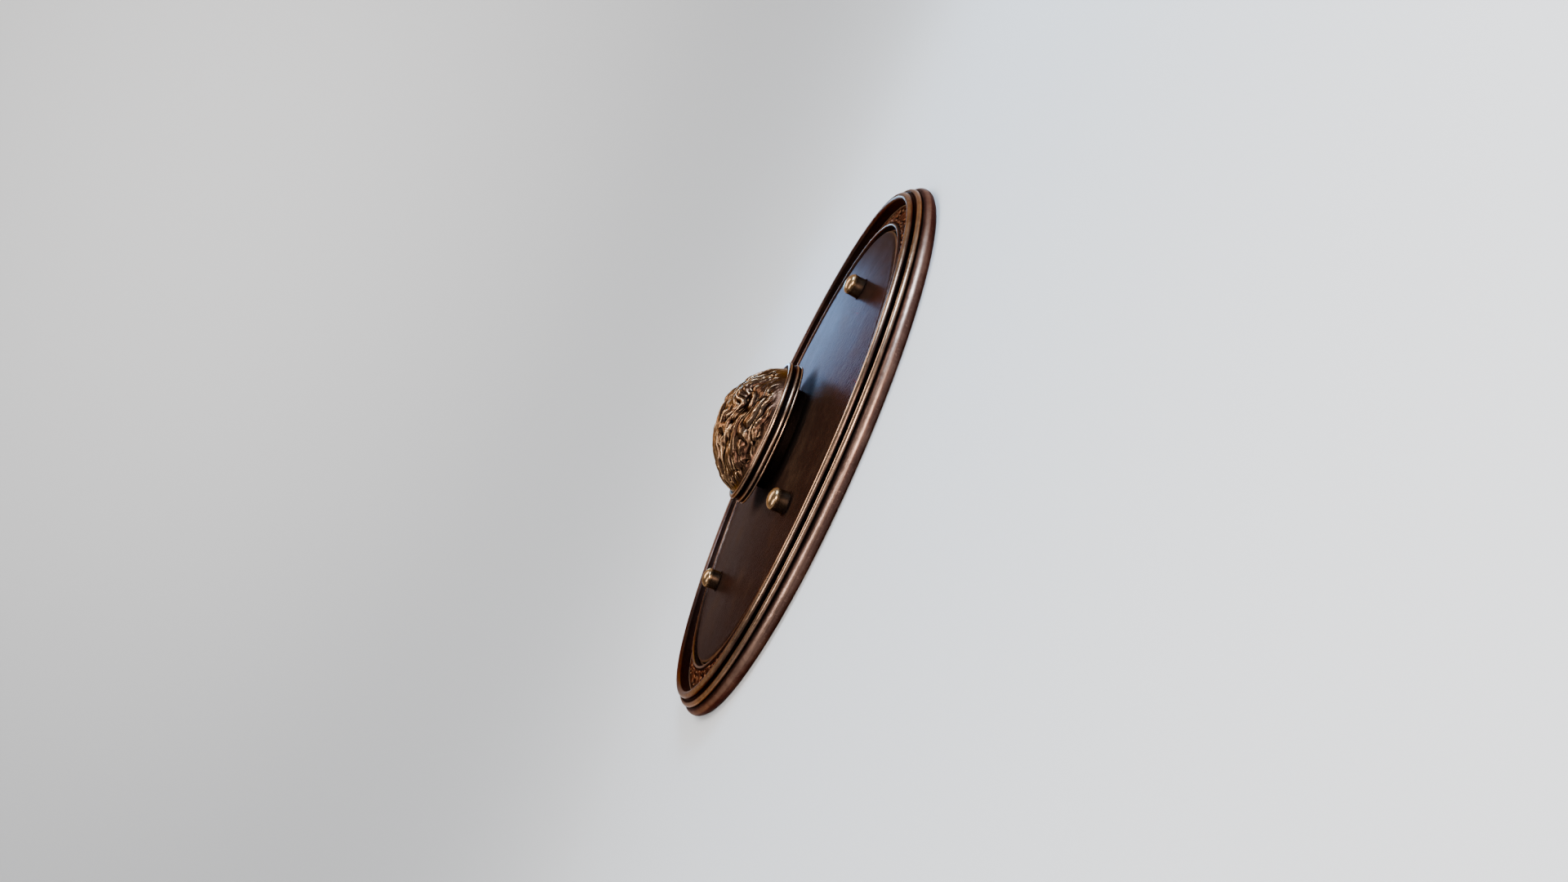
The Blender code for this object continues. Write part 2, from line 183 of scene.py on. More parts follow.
PLATE_WALL = 2.2 * MM
CHANNEL_FLOOR = 13 * MM
UNDER_FLOOR = CHANNEL_FLOOR - PLATE_WALL
RIDGE_ROUND = 1.6 * MM
RIDGE_HEIGHT = 20.3 * MM
QUIRK_WIDTH = 5 * MM
QUIRK_EASING = 0.8 * MM
LIP_WIDTH = 9 * MM
LIP_DROP = 2.4 * MM
FIELD_EDGE_HEIGHT = 19 * MM
OUTER_BEAD_INSET = 8.2 * MM
INNER_BEAD_INSET = 15.4 * MM
RIM_WALL = 11 * MM

# Where one piece of the plate ends and the next begins: in the narrow groove, or quirk, round the field, and
# at a share of the channel's width
FIELD_SEAM = 2.3 * MM
FIELD_SEAM_HEIGHT = CHANNEL_FLOOR + 0.4 * MM
QUIRK_FOOT_HEIGHT = CHANNEL_FLOOR + 0.6 * MM
CHANNEL_END = 0.93
SEAM_GAP = 0.02 * MM

# The grip's straps, and how far they reach past the studs that hold them
STRAP_WIDTH = 24 * MM
STRAP_THICKNESS = 3.6 * MM
STRAP_END = 16 * MM

# Room between pieces that touch, and round the boss's sleeve in the field
REST_GAP = 0.3 * MM
SLEEVE_ROOM = 3.8 * MM


def field_radius(sizes):
    """Radius of the field's edge, at the quirk inside the ridge."""
    return sizes.rim_radius - sizes.ridge_inset - RIDGE_ROUND - QUIRK_WIDTH


def field_height(sizes, r):
    """Height of the field's front over the back edge, at r from the axis."""
    flat = field_radius(sizes) - LIP_WIDTH
    return FIELD_EDGE_HEIGHT + sizes.field_rise * (1 - (r / flat) ** 2)


# Meshes


def mesh_of(name, verts, faces):
    """A new mesh of those points and faces."""
    mesh = bpy.data.meshes.new(name)
    mesh.from_pydata(verts, [], faces)
    return mesh


def placed(name, data):
    """A new object with that data, linked to the scene."""
    thing = bpy.data.objects.new(name, data)
    bpy.context.scene.collection.objects.link(thing)
    return thing


def turned(name, rows, segments, raised, top=math.inf):
    """A closed surface turned about Z from rows of (radius, height), run outwards along its front.

    Rows at radius 0 close it on the axis, and a loop that has none is joined end to end. raised takes the
    grid of points and gives how far each goes out along its normal. None of them goes above top.
    """
    rows = np.array(rows, float)
    on_axis = rows[0, 0] == 0
    body = rows[1:-1] if on_axis else rows
    count = len(body)
    angles = np.arange(segments) * 2 * math.pi / segments
    out = np.stack([np.cos(angles), np.sin(angles), np.zeros(segments)], axis=-1)
    up = np.array((0, 0, 1.0))
    ahead = np.roll(body, -1, axis=0)
    behind = np.roll(body, 1, axis=0)
    if on_axis:
        ahead[-1], behind[0] = rows[-1], rows[0]
    run = ahead - behind
    run /= np.maximum(np.linalg.norm(run, axis=1, keepdims=True), 1e-12)
    normals = -run[:, None, 1, None] * out[None] + run[:, None, 0, None] * up
    grid = body[:, None, 0, None] * out[None] + body[:, None, 1, None] * up
    grid = grid + normals * raised(grid)[..., None]
    grid[..., 2] = np.minimum(grid[..., 2], top)
    verts = grid.reshape(-1, 3)
    row = np.arange(count - 1 if on_axis else count)[:, None] * segments
    after = (row + segments) % (count * segments)
    here = np.arange(segments)[None]
    following = (here + 1) % segments
    quads = np.stack([row + here, after + here, after + following, row + following], axis=-1)
    faces = quads.reshape(-1, 4).tolist()
    if on_axis:
        crown, last = len(verts), (count - 1) * segments
        verts = np.vstack([verts, (0, 0, grid[0, :, 2].mean()), (0, 0, rows[-1, 1])])
        for j in range(segments):
            k = (j + 1) % segments
            faces += [[crown, j, k], [crown + 1, last + k, last + j]]
    return mesh_of(name, verts.tolist(), faces)


def from_axis(points):
    """Each point's distance from the boss's axis."""
    return np.hypot(points[..., 0], points[..., 1])


def read(parts, name, width=3, kind=float):
    """One property of all the parts of a mesh, as an array with a row for each."""
    values = np.zeros(len(parts) * width, kind)
    parts.foreach_get(name, values)
    return values.reshape(-1, width)


def radius_and_height(mesh):
    """Each point's radius from the axis and its height."""
    points = read(mesh.vertices, "co")
    return from_axis(points), points[:, 2]


def store_wear(mesh, rub, shade):
    """Keeps how far each point stands proud or lies hollow, as attributes that the bronze reads.

    rub and shade are the curvatures, in 1/m, at which a crest is fully rubbed and a hollow fully dark, that
    dark being patina and painted shade.
    """
    count = len(mesh.vertices)
    points = read(mesh.vertices, "co")
    normals = read(mesh.vertex_normals, "vector", kind=np.float32)
    ends = read(mesh.edges, "vertices", 2, np.int32)
    first = np.concatenate([ends[:, 0], ends[:, 1]])
    second = np.concatenate([ends[:, 1], ends[:, 0]])
    away = points[first] - points[second]
    bend = 2 * (normals[first] * away).sum(axis=1) / np.maximum((away ** 2).sum(axis=1), 1e-12)
    share = np.maximum(np.bincount(first, minlength=count), 1)
    curve = np.bincount(first, bend, count) / share
    curve = 0.5 * curve + 0.5 * np.bincount(first, curve[second], count) / share
    # hollow darkens concave places: patina in part, painted shade in part
    for attribute, values in (
        ("wear", smooth(0.15 * rub, rub, curve)),
        ("hollow", smooth(0.1 * shade, shade, -curve)),
    ):
        layer = mesh.attributes.new(attribute, "FLOAT", "POINT")
        layer.data.foreach_set("value", values.astype(np.float32))


def change(mesh, attribute, rule):
    """Gives a kept attribute the values that the rule makes of those it has."""
    layer = mesh.attributes[attribute].data
    values = rule(read(layer, "value", 1, np.float32)[:, 0])
    layer.foreach_set("value", values.astype(np.float32))


def raise_to(mesh, attribute, values):
    """Raises a kept attribute to the given values where those are higher."""
    change(mesh, attribute, lambda now: np.maximum(now, values))


def shade_between(mesh, rounds, deep):
    """Rubs the crests of mouldings and paints shade into the grooves between them.

    Both follow how far a point lies under a line laid across two neighbours. rounds are (radius from the
    axis, height, radius of the round), from the inside out. At deep under the line a groove's painted shade
    is full.
    """
    section = np.stack(radius_and_height(mesh), axis=-1)
    shade, rub = np.zeros((2, len(section)))
    for first, second in zip(rounds, rounds[1:]):
        start, end = np.array(first[:2]), np.array(second[:2])
        run = (end - start) / np.linalg.norm(end - start)
        lean = (first[2] - second[2]) / np.linalg.norm(end - start)
        out = run * lean + np.array((-run[1], run[0])) * math.sqrt(1 - lean ** 2)
        along = np.array((out[1], -out[0]))
        under = out @ start + first[2] - section @ out
        beside = (section @ along > start @ along) & (section @ along < end @ along)
        shade = np.maximum(shade, smooth(0.25 * deep, deep, under) * beside * (under < 4 * deep))
        rub = np.maximum(rub, 1 - smooth(0.06 * deep, 0.36 * deep, under))
    # Painted shade in the grooves, as the mouldings on either side would shade them
    raise_to(mesh, "hollow", shade)
    raise_to(mesh, "wear", rub)


def paint(mesh, *zones):
    """Gives each face the material of the last zone that holds it.

    A zone is (test, material index). test reads a face's radius and height, and how far it looks out and up.
    """
    centres = read(mesh.polygons, "center")
    looks = read(mesh.polygons, "normal")
    r = np.maximum(from_axis(centres), 1e-9)
    outwards = (looks[:, :2] * centres[:, :2]).sum(axis=1) / r
    index = np.zeros(len(centres), np.int32)
    for test, material in zones:
        index[test(r, centres[:, 2], outwards, looks[:, 2])] = material
    mesh.polygons.foreach_set("material_index", index)


def underside(r, z, outwards, up):
    return up < -0.25


def piece(name, mesh, materials, replaces):
    """Shows the mesh as a piece that rides on the shield and stands for those solids."""
    mesh.shade_smooth()
    mesh.set_sharp_from_angle(angle=math.radians(40))
    for material in materials:
        mesh.materials.append(material)
    thing = placed(name, mesh)
    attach(thing, "root")
    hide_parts(*replaces)


# Bronze


def linear(hex_colour):
    """A #rrggbb colour as linear red, green, blue and alpha."""
    shares = [int(hex_colour[i : i + 2], 16) / 255 for i in (1, 3, 5)]
    return [s / 12.92 if s <= 0.04045 else ((s + 0.055) / 1.055) ** 2.4 for s in shares] + [1]


def add(tree, kind, inputs=None, **settings):
    """A node with its settings, and its inputs set or linked. A node as an input is its first output."""
    made = tree.nodes.new(kind)
    for name, value in settings.items():
        setattr(made, name, value)
    for key, value in (inputs or {}).items():
        if isinstance(value, bpy.types.Node):
            value = value.outputs[0]
        if isinstance(value, bpy.types.NodeSocket):
            tree.links.new(value, made.inputs[key])
        else:
            made.inputs[key].default_value = value
    return made


def bronze(name, colours, roughness, rub=1.0, shaded=1.0, bump=1.0, patches=0.1, scored=0.1, broken=0.4):
    """A bronze whose patina is rubbed bright where it stands proud, and dark with painted shade where it
    lies hollow.

    colours are the patina's, the rubbed metal's, the hollows' dark, which is patina and painted shade, and
    the metal's at a glancing angle, in hex or linear. roughness is the patina's and the rubbed metal's.
    patches and scored are how far bare metal shows in blotches and in scratches, and broken is how far the
    rubbing fails in places.
    """
    if name in bpy.data.materials:
        return bpy.data.materials[name]
    material = bpy.data.materials.new(name)
    material.use_nodes = True
    tree = material.node_tree
    tree.nodes.clear()
    patina, rubbed, dark, edge = (linear(c) if isinstance(c, str) else [*c, 1] for c in colours)
    place = add(tree, "ShaderNodeTexCoord").outputs["Object"]

    # Blotches some 45 mm across where the patina has taken unevenly, 5 mm mottling over them, casting grain
    # of 0.8 mm, coarser than the real sand's so that it shows, and 12 mm for the rubbing to come and go
    noises = []
    for across, detail, rough in ((45, 5.0, 0.6), (5, 4.0, 0.65), (0.8, 3.0, 0.7), (12, 4.0, 0.6)):
        inputs = {"Vector": place, "Scale": 1 / (across * MM), "Detail": detail, "Roughness": rough}
        noises.append(add(tree, "ShaderNodeTexNoise", inputs))
    blotch, mottle, grain, uneven = noises
    # Polishing scratches 0.6 mm apart and some 30 mm long, in two directions
    ways = []
    for turn, shift in ((0.5, 0.0), (2.2, 3.7)):
        inputs = {"Vector": place, "Location": (shift, 0, 0), "Rotation": (0, 0, turn)}
        inputs["Scale"] = (30 * MM, 0.6 * MM, 4 * MM)
        along = add(tree, "ShaderNodeMapping", inputs, vector_type="TEXTURE")
        lines = add(tree, "ShaderNodeTexNoise", {"Vector": along, "Scale": 1.0, "Detail": 1.0})
        ways.append(add(tree, "ShaderNodeMapRange", {"Value": lines, "From Min": 0.66, "From Max": 0.74}))
    scratches = add(tree, "ShaderNodeMath", {0: ways[0], 1: ways[1]}, operation="MAXIMUM")

    # How bare the metal is, from its wear, the blotches and the scratches, and how dark from its hollows,
    # where patina lies and shade is painted
    wear = add(tree, "ShaderNodeAttribute", attribute_name="wear").outputs["Fac"]
    hollow = add(tree, "ShaderNodeAttribute", attribute_name="hollow").outputs["Fac"]
    inputs = {"Value": uneven, "From Min": 0.36, "From Max": 0.6, "To Min": 1 - broken}
    held = add(tree, "ShaderNodeMapRange", inputs)
    crest = add(tree, "ShaderNodeMath", {0: wear, 1: held}, operation="MULTIPLY")
    inputs = {"Value": blotch, "From Min": 0.5, "From Max": 0.78, "To Max": patches}
    patch = add(tree, "ShaderNodeMapRange", inputs)
    worn = add(tree, "ShaderNodeMath", {0: crest, 1: rub, 2: patch}, operation="MULTIPLY_ADD")
    inputs = {0: scratches, 1: scored, 2: worn}
    bare = add(tree, "ShaderNodeMath", inputs, operation="MULTIPLY_ADD", use_clamp=True)
    shade = add(tree, "ShaderNodeMath", {0: hollow, 1: shaded}, operation="MULTIPLY", use_clamp=True)

    # A Mix node takes its two colours at inputs 6 and 7 and gives one at output 2
    # Mottled patina, then bare metal, then the hollows' dark, which paints shade as well as patina
    tone = patina
    deeper = [c * 0.55 for c in patina[:3]] + [1]
    for share, laid in ((mottle, deeper), (bare, rubbed), (shade, dark)):
        tone = add(tree, "ShaderNodeMix", {0: share, 6: tone, 7: laid}, data_type="RGBA").outputs[2]
    dull = add(tree, "ShaderNodeMapRange", {"Value": bare, "To Min": roughness[0], "To Max": roughness[1]})
    for share, more in ((blotch, 0.14), (mottle, 0.12), (shade, 0.25)):
        inputs = {0: share, 1: more, 2: dull}
        dull = add(tree, "ShaderNodeMath", inputs, operation="MULTIPLY_ADD", use_clamp=True)
    # Mottling and grain stand up, and scratches are cut in
    bumped = {}
    for height, strength, deep in ((mottle, 0.35, 0.5), (grain, 0.45, 0.08), (scratches, 0.25, 0.06)):
        inputs = {"Height": height, "Strength": strength * bump, "Distance": deep * MM, **bumped}
        bumped = {"Normal": add(tree, "ShaderNodeBump", inputs, invert=height is scratches)}
    inputs = {"Base Color": tone, "Metallic": 1.0, "Roughness": dull, "Specular Tint": edge, **bumped}
    add(tree, "ShaderNodeOutputMaterial", {"Surface": add(tree, "ShaderNodeBsdfPrincipled", inputs)})
    return material


def field_bronze():
    """Bronze under a dark red-brown patina, waxed: a satin sheen with a fine grain, little bare metal."""
    finish = bpy.context.scene.shield_finish
    colours = (finish.patina, finish.rubbed, "#140c09", "#86706c")
    return bronze("patinated_bronze", colours, (0.25, 0.2), rub=0.6, bump=2.0, patches=0.06, scored=0.06)


def bead_bronze():
    """Bronze kept bright by rubbing along the beads: sharp pale-gold highlights, and near-black grooves of
    patina and painted shade.
    """
    colours = ("#442f29", "#a98468", "#060303", "#bfa598")
    return bronze("burnished_bronze", colours, (0.17, 0.1), rub=0.85, shaded=1.3, bump=0.5)


def band_bronze():
    """Bronze scoured to a satin mauve-brown round the side, where it is knocked and wiped most."""
    colours = ("#553c34", "#a88370", "#1c100b", "#96827c")
    return bronze(
        "scoured_bronze", colours, (0.26, 0.18), rub=0.8, shaded=0.5, bump=1.5, patches=0.2, scored=0.22
    )


def chased_bronze():
    """Cast bronze chased with punches: golden on the crests, brown on the flanks and black in the cuts, with
    patina and painted shade.
    """
    colours = ("#4e3326", "#eab886", "#070303", "#e6c6ac")
    return bronze("chased_bronze", colours, (0.15, 0.1), shaded=1.7, bump=0.9, broken=0.75)


def carved_bronze():
    """The channel's bronze, out of reach of rubbing: red-brown, with only the tops of the leaves bright."""
    colours = ("#4e3327", "#c4946c", "#080403", "#b09080")
    return bronze("carved_bronze", colours, (0.26, 0.16), rub=0.8, shaded=1.5, broken=0.6)


def handled_bronze():
    """Bronze that hands have kept clean: brown-gold, with a soft gloss."""
    colours = ("#4a372a", "#bd9368", "#120b08", "#dcbfa6")
    return bronze("handled_bronze", colours, (0.17, 0.1), rub=0.75, bump=0.7)


def inner_bronze():
    """The side nobody sees, left as it was cast: an even, dull brown with a rougher skin."""
    colours = ("#665142", "#9c7b5d", "#17100c", "#a08878")
    return bronze("as_cast_bronze", colours, (0.52, 0.4), rub=0.5, bump=1.6)


# Field


class SHIELD_OT_field(bpy.types.Operator):
    """Builds the domed field inside the channel, with its rounded lip and plain back."""

    bl_idname = "shield.field"
    bl_label = "Field"

    def execute(self, context):
        sizes = context.scene.shield_plate
        boss = context.scene.shield_boss
        edge = field_radius(sizes)
        flat = edge - LIP_WIDTH
        hole = boss.hand_hole + SLEEVE_ROOM
        seam = edge + FIELD_SEAM
        # The front runs from the hole out over the lip into the quirk, and the back returns to the hole
        front = [(r, field_height(sizes, r)) for r in np.linspace(hole, flat, 52)]
        lip = (flat, FIELD_EDGE_HEIGHT - LIP_DROP)
        front += arc(lip, LIP_WIDTH, 90, 0, 12, squash=LIP_DROP / LIP_WIDTH)[1:]
        corner = [front[-1], (edge + 0.15 * MM, QUIRK_FOOT_HEIGHT), (seam, FIELD_SEAM_HEIGHT)]
        front += eased(corner, QUIRK_EASING)[1:]
        back = eased(
            [
                (seam, UNDER_FLOOR),
                (edge - PLATE_WALL, UNDER_FLOOR),
                (edge - PLATE_WALL - 1.2 * MM, FIELD_EDGE_HEIGHT - LIP_DROP - 1.6 * MM),
                (flat, field_height(sizes, flat) - PLATE_WALL),
                (flat - 12 * MM, field_height(sizes, flat - 12 * MM) - PLATE_WALL),
            ],
            2 * MM,
        )
        back += [(r, field_height(sizes, r) - PLATE_WALL) for r in np.linspace(flat - 20 * MM, hole, 36)]

        def hammered(grid):
            low = 0.16 * lumps(grid, 38 * MM, 3) + 0.05 * lumps(grid, 13 * MM, 4)
            r = from_axis(grid)
            free = smooth(hole, hole + 8 * MM, r) * (1 - smooth(edge - 1 * MM, edge, r))
            return low * free * MM

        mesh = turned("field", front + back, 384, hammered)
        paint(mesh, (underside, 1))
        store_wear(mesh, 160, 120)
        # Painted shadow of the boss's flange, darkening the front of the field under and round it
        r, z = radius_and_height(mesh)
        flange_shadow = 1 - smooth(boss.flange - 12 * MM, boss.flange + 12 * MM, r)
        raise_to(mesh, "hollow", 0.9 * flange_shadow * (z > field_height(sizes, r) - 1 * MM))
        piece("field", mesh, [field_bronze(), inner_bronze()], ["shield_plate"])
        return {"FINISHED"}


# Channel


def rim_foot(sizes):
    """Radius of the foot of the rim's inner wall, where the channel's floor ends."""
    return sizes.rim_radius - INNER_BEAD_INSET - sizes.inner_bead


def palmette(u, v, reach, lobes, spread):
    """Height, from 0 to 1, of a fan of lobes that opens along +v from its base at (0, 0)."""
    away = np.hypot(u, v)
    angle = np.degrees(np.arctan2(u, v))
    width = 2 * spread / lobes
    off = angle / width + (0 if lobes % 2 else 0.5)
    off = off - np.round(off)
    tip = reach * (1 - 0.24 * (angle / spread) ** 2) * (1 - 0.9 * off ** 2)
    lobe = np.sqrt(np.clip(1 - 3.7 * off ** 2, 0.02, 1))
    inside = 1 - smooth(spread - 3, spread + 3, np.abs(angle))
    return lobe * inside * smooth(0, 0.17 * reach, tip - away) * smooth(0.05 * reach, 0.2 * reach, away)


def pellet(u, v, radius):
    """Height, from 0 to 1, of a round pellet at (0, 0)."""
    return np.sqrt(np.clip(1 - (np.hypot(u, v) / radius) ** 2, 0, 1))


def channel_carving(grid, sizes, start):
    """Height of the carving over the channel's floor: palmettes and buds by turns, on a punched ground."""
    turn = np.arctan2(grid[..., 1], grid[..., 0])
    width = rim_foot(sizes) - start
    pitch = 2 * math.pi * (start + 0.5 * width) / sizes.leaf_count
    phase = turn * sizes.leaf_count / (2 * math.pi)
    u = (phase - np.round(phase)) * pitch
    bud_u = (phase + 0.5 - np.round(phase + 0.5)) * pitch
    v = from_axis(grid) - start
    wander = 0.03 * width * lumps(grid, 9 * MM, 11)
    u, bud_u, v = u + wander, bud_u + wander, v + wander
    fan = palmette(u, v - 0.12 * width, 0.74 * width, 7, 100)
    fan = np.maximum(fan, 1.15 * pellet(u, v - 0.15 * width, 0.11 * width))
    bud = 0.85 * palmette(bud_u, v - 0.14 * width, 0.66 * width, 3, 48)
    bud = np.maximum(bud, pellet(bud_u, v - 0.16 * width, 0.09 * width))
    between = np.abs(u) - 0.27 * pitch
    dots = 0.75 * pellet(between, v - 0.68 * width, 0.085 * width)
    dots = np.maximum(dots, 0.6 * pellet(between, v - 0.42 * width, 0.06 * width))
    stem = 0.16 * width + 0.07 * width * np.cos(4 * math.pi * u / pitch)
    vine = 0.5 * np.sqrt(np.clip(1 - ((v - stem) / (0.045 * width)) ** 2, 0, 1))
    raised = np.maximum.reduce([fan, bud, dots, vine])
    worn = 0.82 + 0.25 * lumps(grid, 14 * MM, 12)
    ground = 0.09 * lumps(grid, 1.7 * MM, 13) + 0.07 * lumps(grid, 3.2 * MM, 14)
    swell = 0.22 * np.cos(phase * 2 * math.pi) * np.sin(math.pi * np.clip(v / width, 0, 1))
    edge = smooth(0.0, 0.08 * width, v) * (1 - smooth(0.84 * width, 0.92 * width, v))
    return sizes.leaf_relief * (raised * worn + ground + swell - 0.12) * edge


class SHIELD_OT_channel(bpy.types.Operator):
    """Builds the ridge and the carved channel between the field and the rim."""

    bl_idname = "shield.channel"
    bl_label = "Carved channel"

    def execute(self, context):
        sizes = context.scene.shield_plate
        ridge = (sizes.rim_radius - sizes.ridge_inset, RIDGE_HEIGHT - RIDGE_ROUND)
        seam = field_radius(sizes) + FIELD_SEAM + SEAM_GAP
        start = ridge[0] + RIDGE_ROUND
        width = rim_foot(sizes) - start
        fall = RIDGE_HEIGHT - RIDGE_ROUND - CHANNEL_FLOOR
        # Up from the quirk over the ridge, down to the channel's floor, and back underneath
        quirk = [
            (seam, FIELD_SEAM_HEIGHT),
            (ridge[0] - RIDGE_ROUND - 0.7 * MM, QUIRK_FOOT_HEIGHT),
            (ridge[0] - RIDGE_ROUND, ridge[1]),
        ]
        rows = eased(quirk, QUIRK_EASING)[:-1] + arc(ridge, RIDGE_ROUND, 180, 35, 8)
        shares = np.linspace(0.03, CHANNEL_END, 32)
        rows += [(start + s * width, CHANNEL_FLOOR + fall * (1 - s) ** 2.2) for s in shares]
        rows += [(rows[-1][0], UNDER_FLOOR)]
        rows += [(r, UNDER_FLOOR) for r in np.linspace(rows[-1][0] - 5 * MM, seam, 5)]

        def carved(grid):
            front = grid[..., 2] > CHANNEL_FLOOR - 0.2 * PLATE_WALL
            ragged = 0.1 * lumps(grid, 6 * MM, 15) * MM * (grid[..., 2] > ridge[1])
            return channel_carving(grid, sizes, start) * front + ragged

        mesh = turned("channel", rows, 1728, carved)
        crest = ridge[1] - 0.4 * MM
        paint(
            mesh,
            (lambda r, z, out, up: r < start + 0.3 * MM, 2),
            (lambda r, z, out, up: (r < start + 0.1 * MM) & (z > crest), 3),
            (underside, 1),
        )
        store_wear(mesh, 950, 300)
        materials = [carved_bronze(), inner_bronze(), field_bronze(), bead_bronze()]
        piece("channel", mesh, materials, ["shield_plate"])
        return {"FINISHED"}


# Rim


# The two knocks on the side band that the photo shows, the first of them double, as an angle round the rim
# in degrees and a height, reach and depth in mm, and the ranges that the others are drawn from
SEEN_KNOCKS = [(-72.4, 1.2, 2.4, 1.3), (-71.6, 3.0, 1.5, 0.5), (-91.8, 2.0, 2.2, 0.8)]
KNOCK_RANGES = ((-180, 180), (1.0, 13.0), (0.9, 2.4), (0.1, 0.35))
OTHER_KNOCKS = 26


def knocks(grid, sizes):
    """How far knocks on the side band have driven it in, in metres."""
    turn = np.degrees(np.arctan2(grid[..., 1], grid[..., 0]))
    depth = np.zeros(grid.shape[:2])
    chance = np.random.default_rng(21)
    others = [[chance.uniform(*span) for span in KNOCK_RANGES] for _ in range(OTHER_KNOCKS)]
    for angle, height, reach, deep in SEEN_KNOCKS + others:
        along = np.radians((turn - angle + 180) % 360 - 180) * sizes.rim_radius
        away = np.hypot(along, grid[..., 2] - height * MM) / (reach * MM)
        depth += deep * MM * np.exp(-(away ** 2))
    return depth


class SHIELD_OT_rim(bpy.types.Operator):
    """Builds the rim: the wall of the channel, both beads, the half-round side band and the plain back."""

    bl_idname = "shield.rim"
    bl_label = "Rim"

    def execute(self, context):
        sizes = context.scene.shield_plate
        radius = sizes.rim_radius
        start = radius - sizes.ridge_inset + RIDGE_ROUND
        foot = rim_foot(sizes)
        seam = start + CHANNEL_END * (foot - start) + SEAM_GAP
        inner = (radius - INNER_BEAD_INSET, sizes.rim_height - sizes.inner_bead)
        outer = (radius - OUTER_BEAD_INSET, 2 * sizes.side_roll + sizes.outer_bead - 0.6 * MM)
        roll = (radius - sizes.side_roll, sizes.side_roll)
        between = math.degrees(math.atan2(outer[1] - inner[1], outer[0] - inner[0]))
        # Up the channel's outer wall, over both beads, round the side band and back underneath
        wall = [
            (seam, CHANNEL_FLOOR + 0.02 * MM),
            (foot - 0.3 * MM, CHANNEL_FLOOR + 0.2 * MM),
            (foot + 0.1 * MM, inner[1] - 1.4 * MM),
        ]
        rows = eased(wall, 1.2 * MM)[:-1]
        rows += arc(inner, sizes.inner_bead, 195, between + 6, 18)
        rows += arc(outer, sizes.outer_bead, between + 180 - 8, -70, 15)
        rows += arc(roll, sizes.side_roll, 80, -90, 20)
        back = [
            (roll[0], 0),
            (radius - RIM_WALL, 0),
            (radius - RIM_WALL, 1.3 * sizes.side_roll),
            (inner[0], sizes.rim_height - 2 * sizes.inner_bead - PLATE_WALL),
            (seam, UNDER_FLOOR),
        ]
        rows += eased(back, 1.4 * MM)[1:]

        def rubbed(grid):
            r = from_axis(grid)
            on_band = smooth(radius - 4 * MM, radius - 1.5 * MM, r)
            low = 0.1 * lumps(grid, 22 * MM, 16) + 0.05 * lumps(grid, 6 * MM, 17) - 0.15
            shown = smooth(seam, seam + 2 * MM, r) * (grid[..., 2] > 0.3 * MM)
            return low * MM * shown - knocks(grid, sizes) * on_band

        mesh = turned("rim", rows, 1080, rubbed)
        groove = outer[1] - sizes.outer_bead + 0.4 * MM
        paint(
            mesh,
            (lambda r, z, out, up: (z < groove) & (out > 0), 1),
            (lambda r, z, out, up: (z < groove) & (out < 0), 2),
            (lambda r, z, out, up: (up < -0.5) & (r < radius - RIM_WALL), 2),
        )
        store_wear(mesh, 620, 400)
        # Painted shade in the grooves between the inner bead, the outer bead and the side band
        rounds = [(*inner, sizes.inner_bead), (*outer, sizes.outer_bead), (*roll, sizes.side_roll)]
        shade_between(mesh, rounds, 2.5 * MM)
        materials = [bead_bronze(), band_bronze(), inner_bronze()]
        piece("rim", mesh, materials, ["shield_plate"])
        return {"FINISHED"}


# Boss

NECK_WALL = 6.6 * MM
NECK_HEIGHT = 13.6 * MM
SLEEVE_WALL = 3.5 * MM
LOWER_BEAD = 3.2 * MM
UPPER_BEAD = 3 * MM
UPPER_BEAD_SET_BACK = 0.6 * MM
DOME_SET_BACK = 7.4 * MM
DOME_WALL = 4 * MM

# The deepest cuts of the gouge, seen in the photo near the boss's two ends, and others like them on the far
# side: two ends and a width, in mm from the crown along the locks and square to them
DEEP_CUTS = (
    (36, -42, 52, -44, 1.3), (21, -56, 31, -60, 1.5), (31, -60, 44, -53, 1.3), (17, -45, 29, -43, 1.2),
    (40, -30, 56, -33, 1.0), (-54, -46, -38, -60, 1.3), (-63, -24, -52, -44, 1.4), (-34, -63, -14, -69, 1.3),
    (-34, -27, -18, -30, 1.1), (-32, -43, -21, -44, 1.4), (-12, -38, 0, -41, 1.2), (38, 40, 54, 38, 1.3),
    (20, 57, 42, 54, 1.4), (-60, 30, -46, 50, 1.3), (-30, 60, -8, 66, 1.2), (-28, 34, -12, 38, 1.1),
)
CUT_DEPTH = 1.4 * MM

# As shares of the dome's base: how far from the crown the locks draw together at each end, how far the two
# curls lie ahead of the crown and to its sides, and how far they reach
LOCKS_MEET = 1.04
CURL_AHEAD, CURL_ASIDE, CURL_REACH = 0.26, 0.47, 0.19


def boss_levels(context):
    """Foot, top of the neck, middles of both beads and foot of the dome, as heights over the back edge."""
    plate = context.scene.shield_plate
    boss = context.scene.shield_boss
    foot = field_height(plate, boss.hand_hole + NECK_WALL) + REST_GAP
    neck_top = foot + NECK_HEIGHT
    lower = neck_top + 2 * MM + LOWER_BEAD
    upper = lower + LOWER_BEAD + UPPER_BEAD + 1.3 * MM
    return foot, neck_top, lower, upper, upper + 1.5 * MM


def dome_sphere(base, height):
    """Radius of the sphere that a dome of that base radius and height is cut from."""
    return (base ** 2 + height ** 2) / (2 * height)


def lean_across(along, square):
    """How far round the locks each point lies, as the angle of the arc from end to end that it is on."""
    return np.arctan2(2 * LOCKS_MEET * square, np.maximum(LOCKS_MEET ** 2 - along ** 2 - square ** 2, 1e-6))


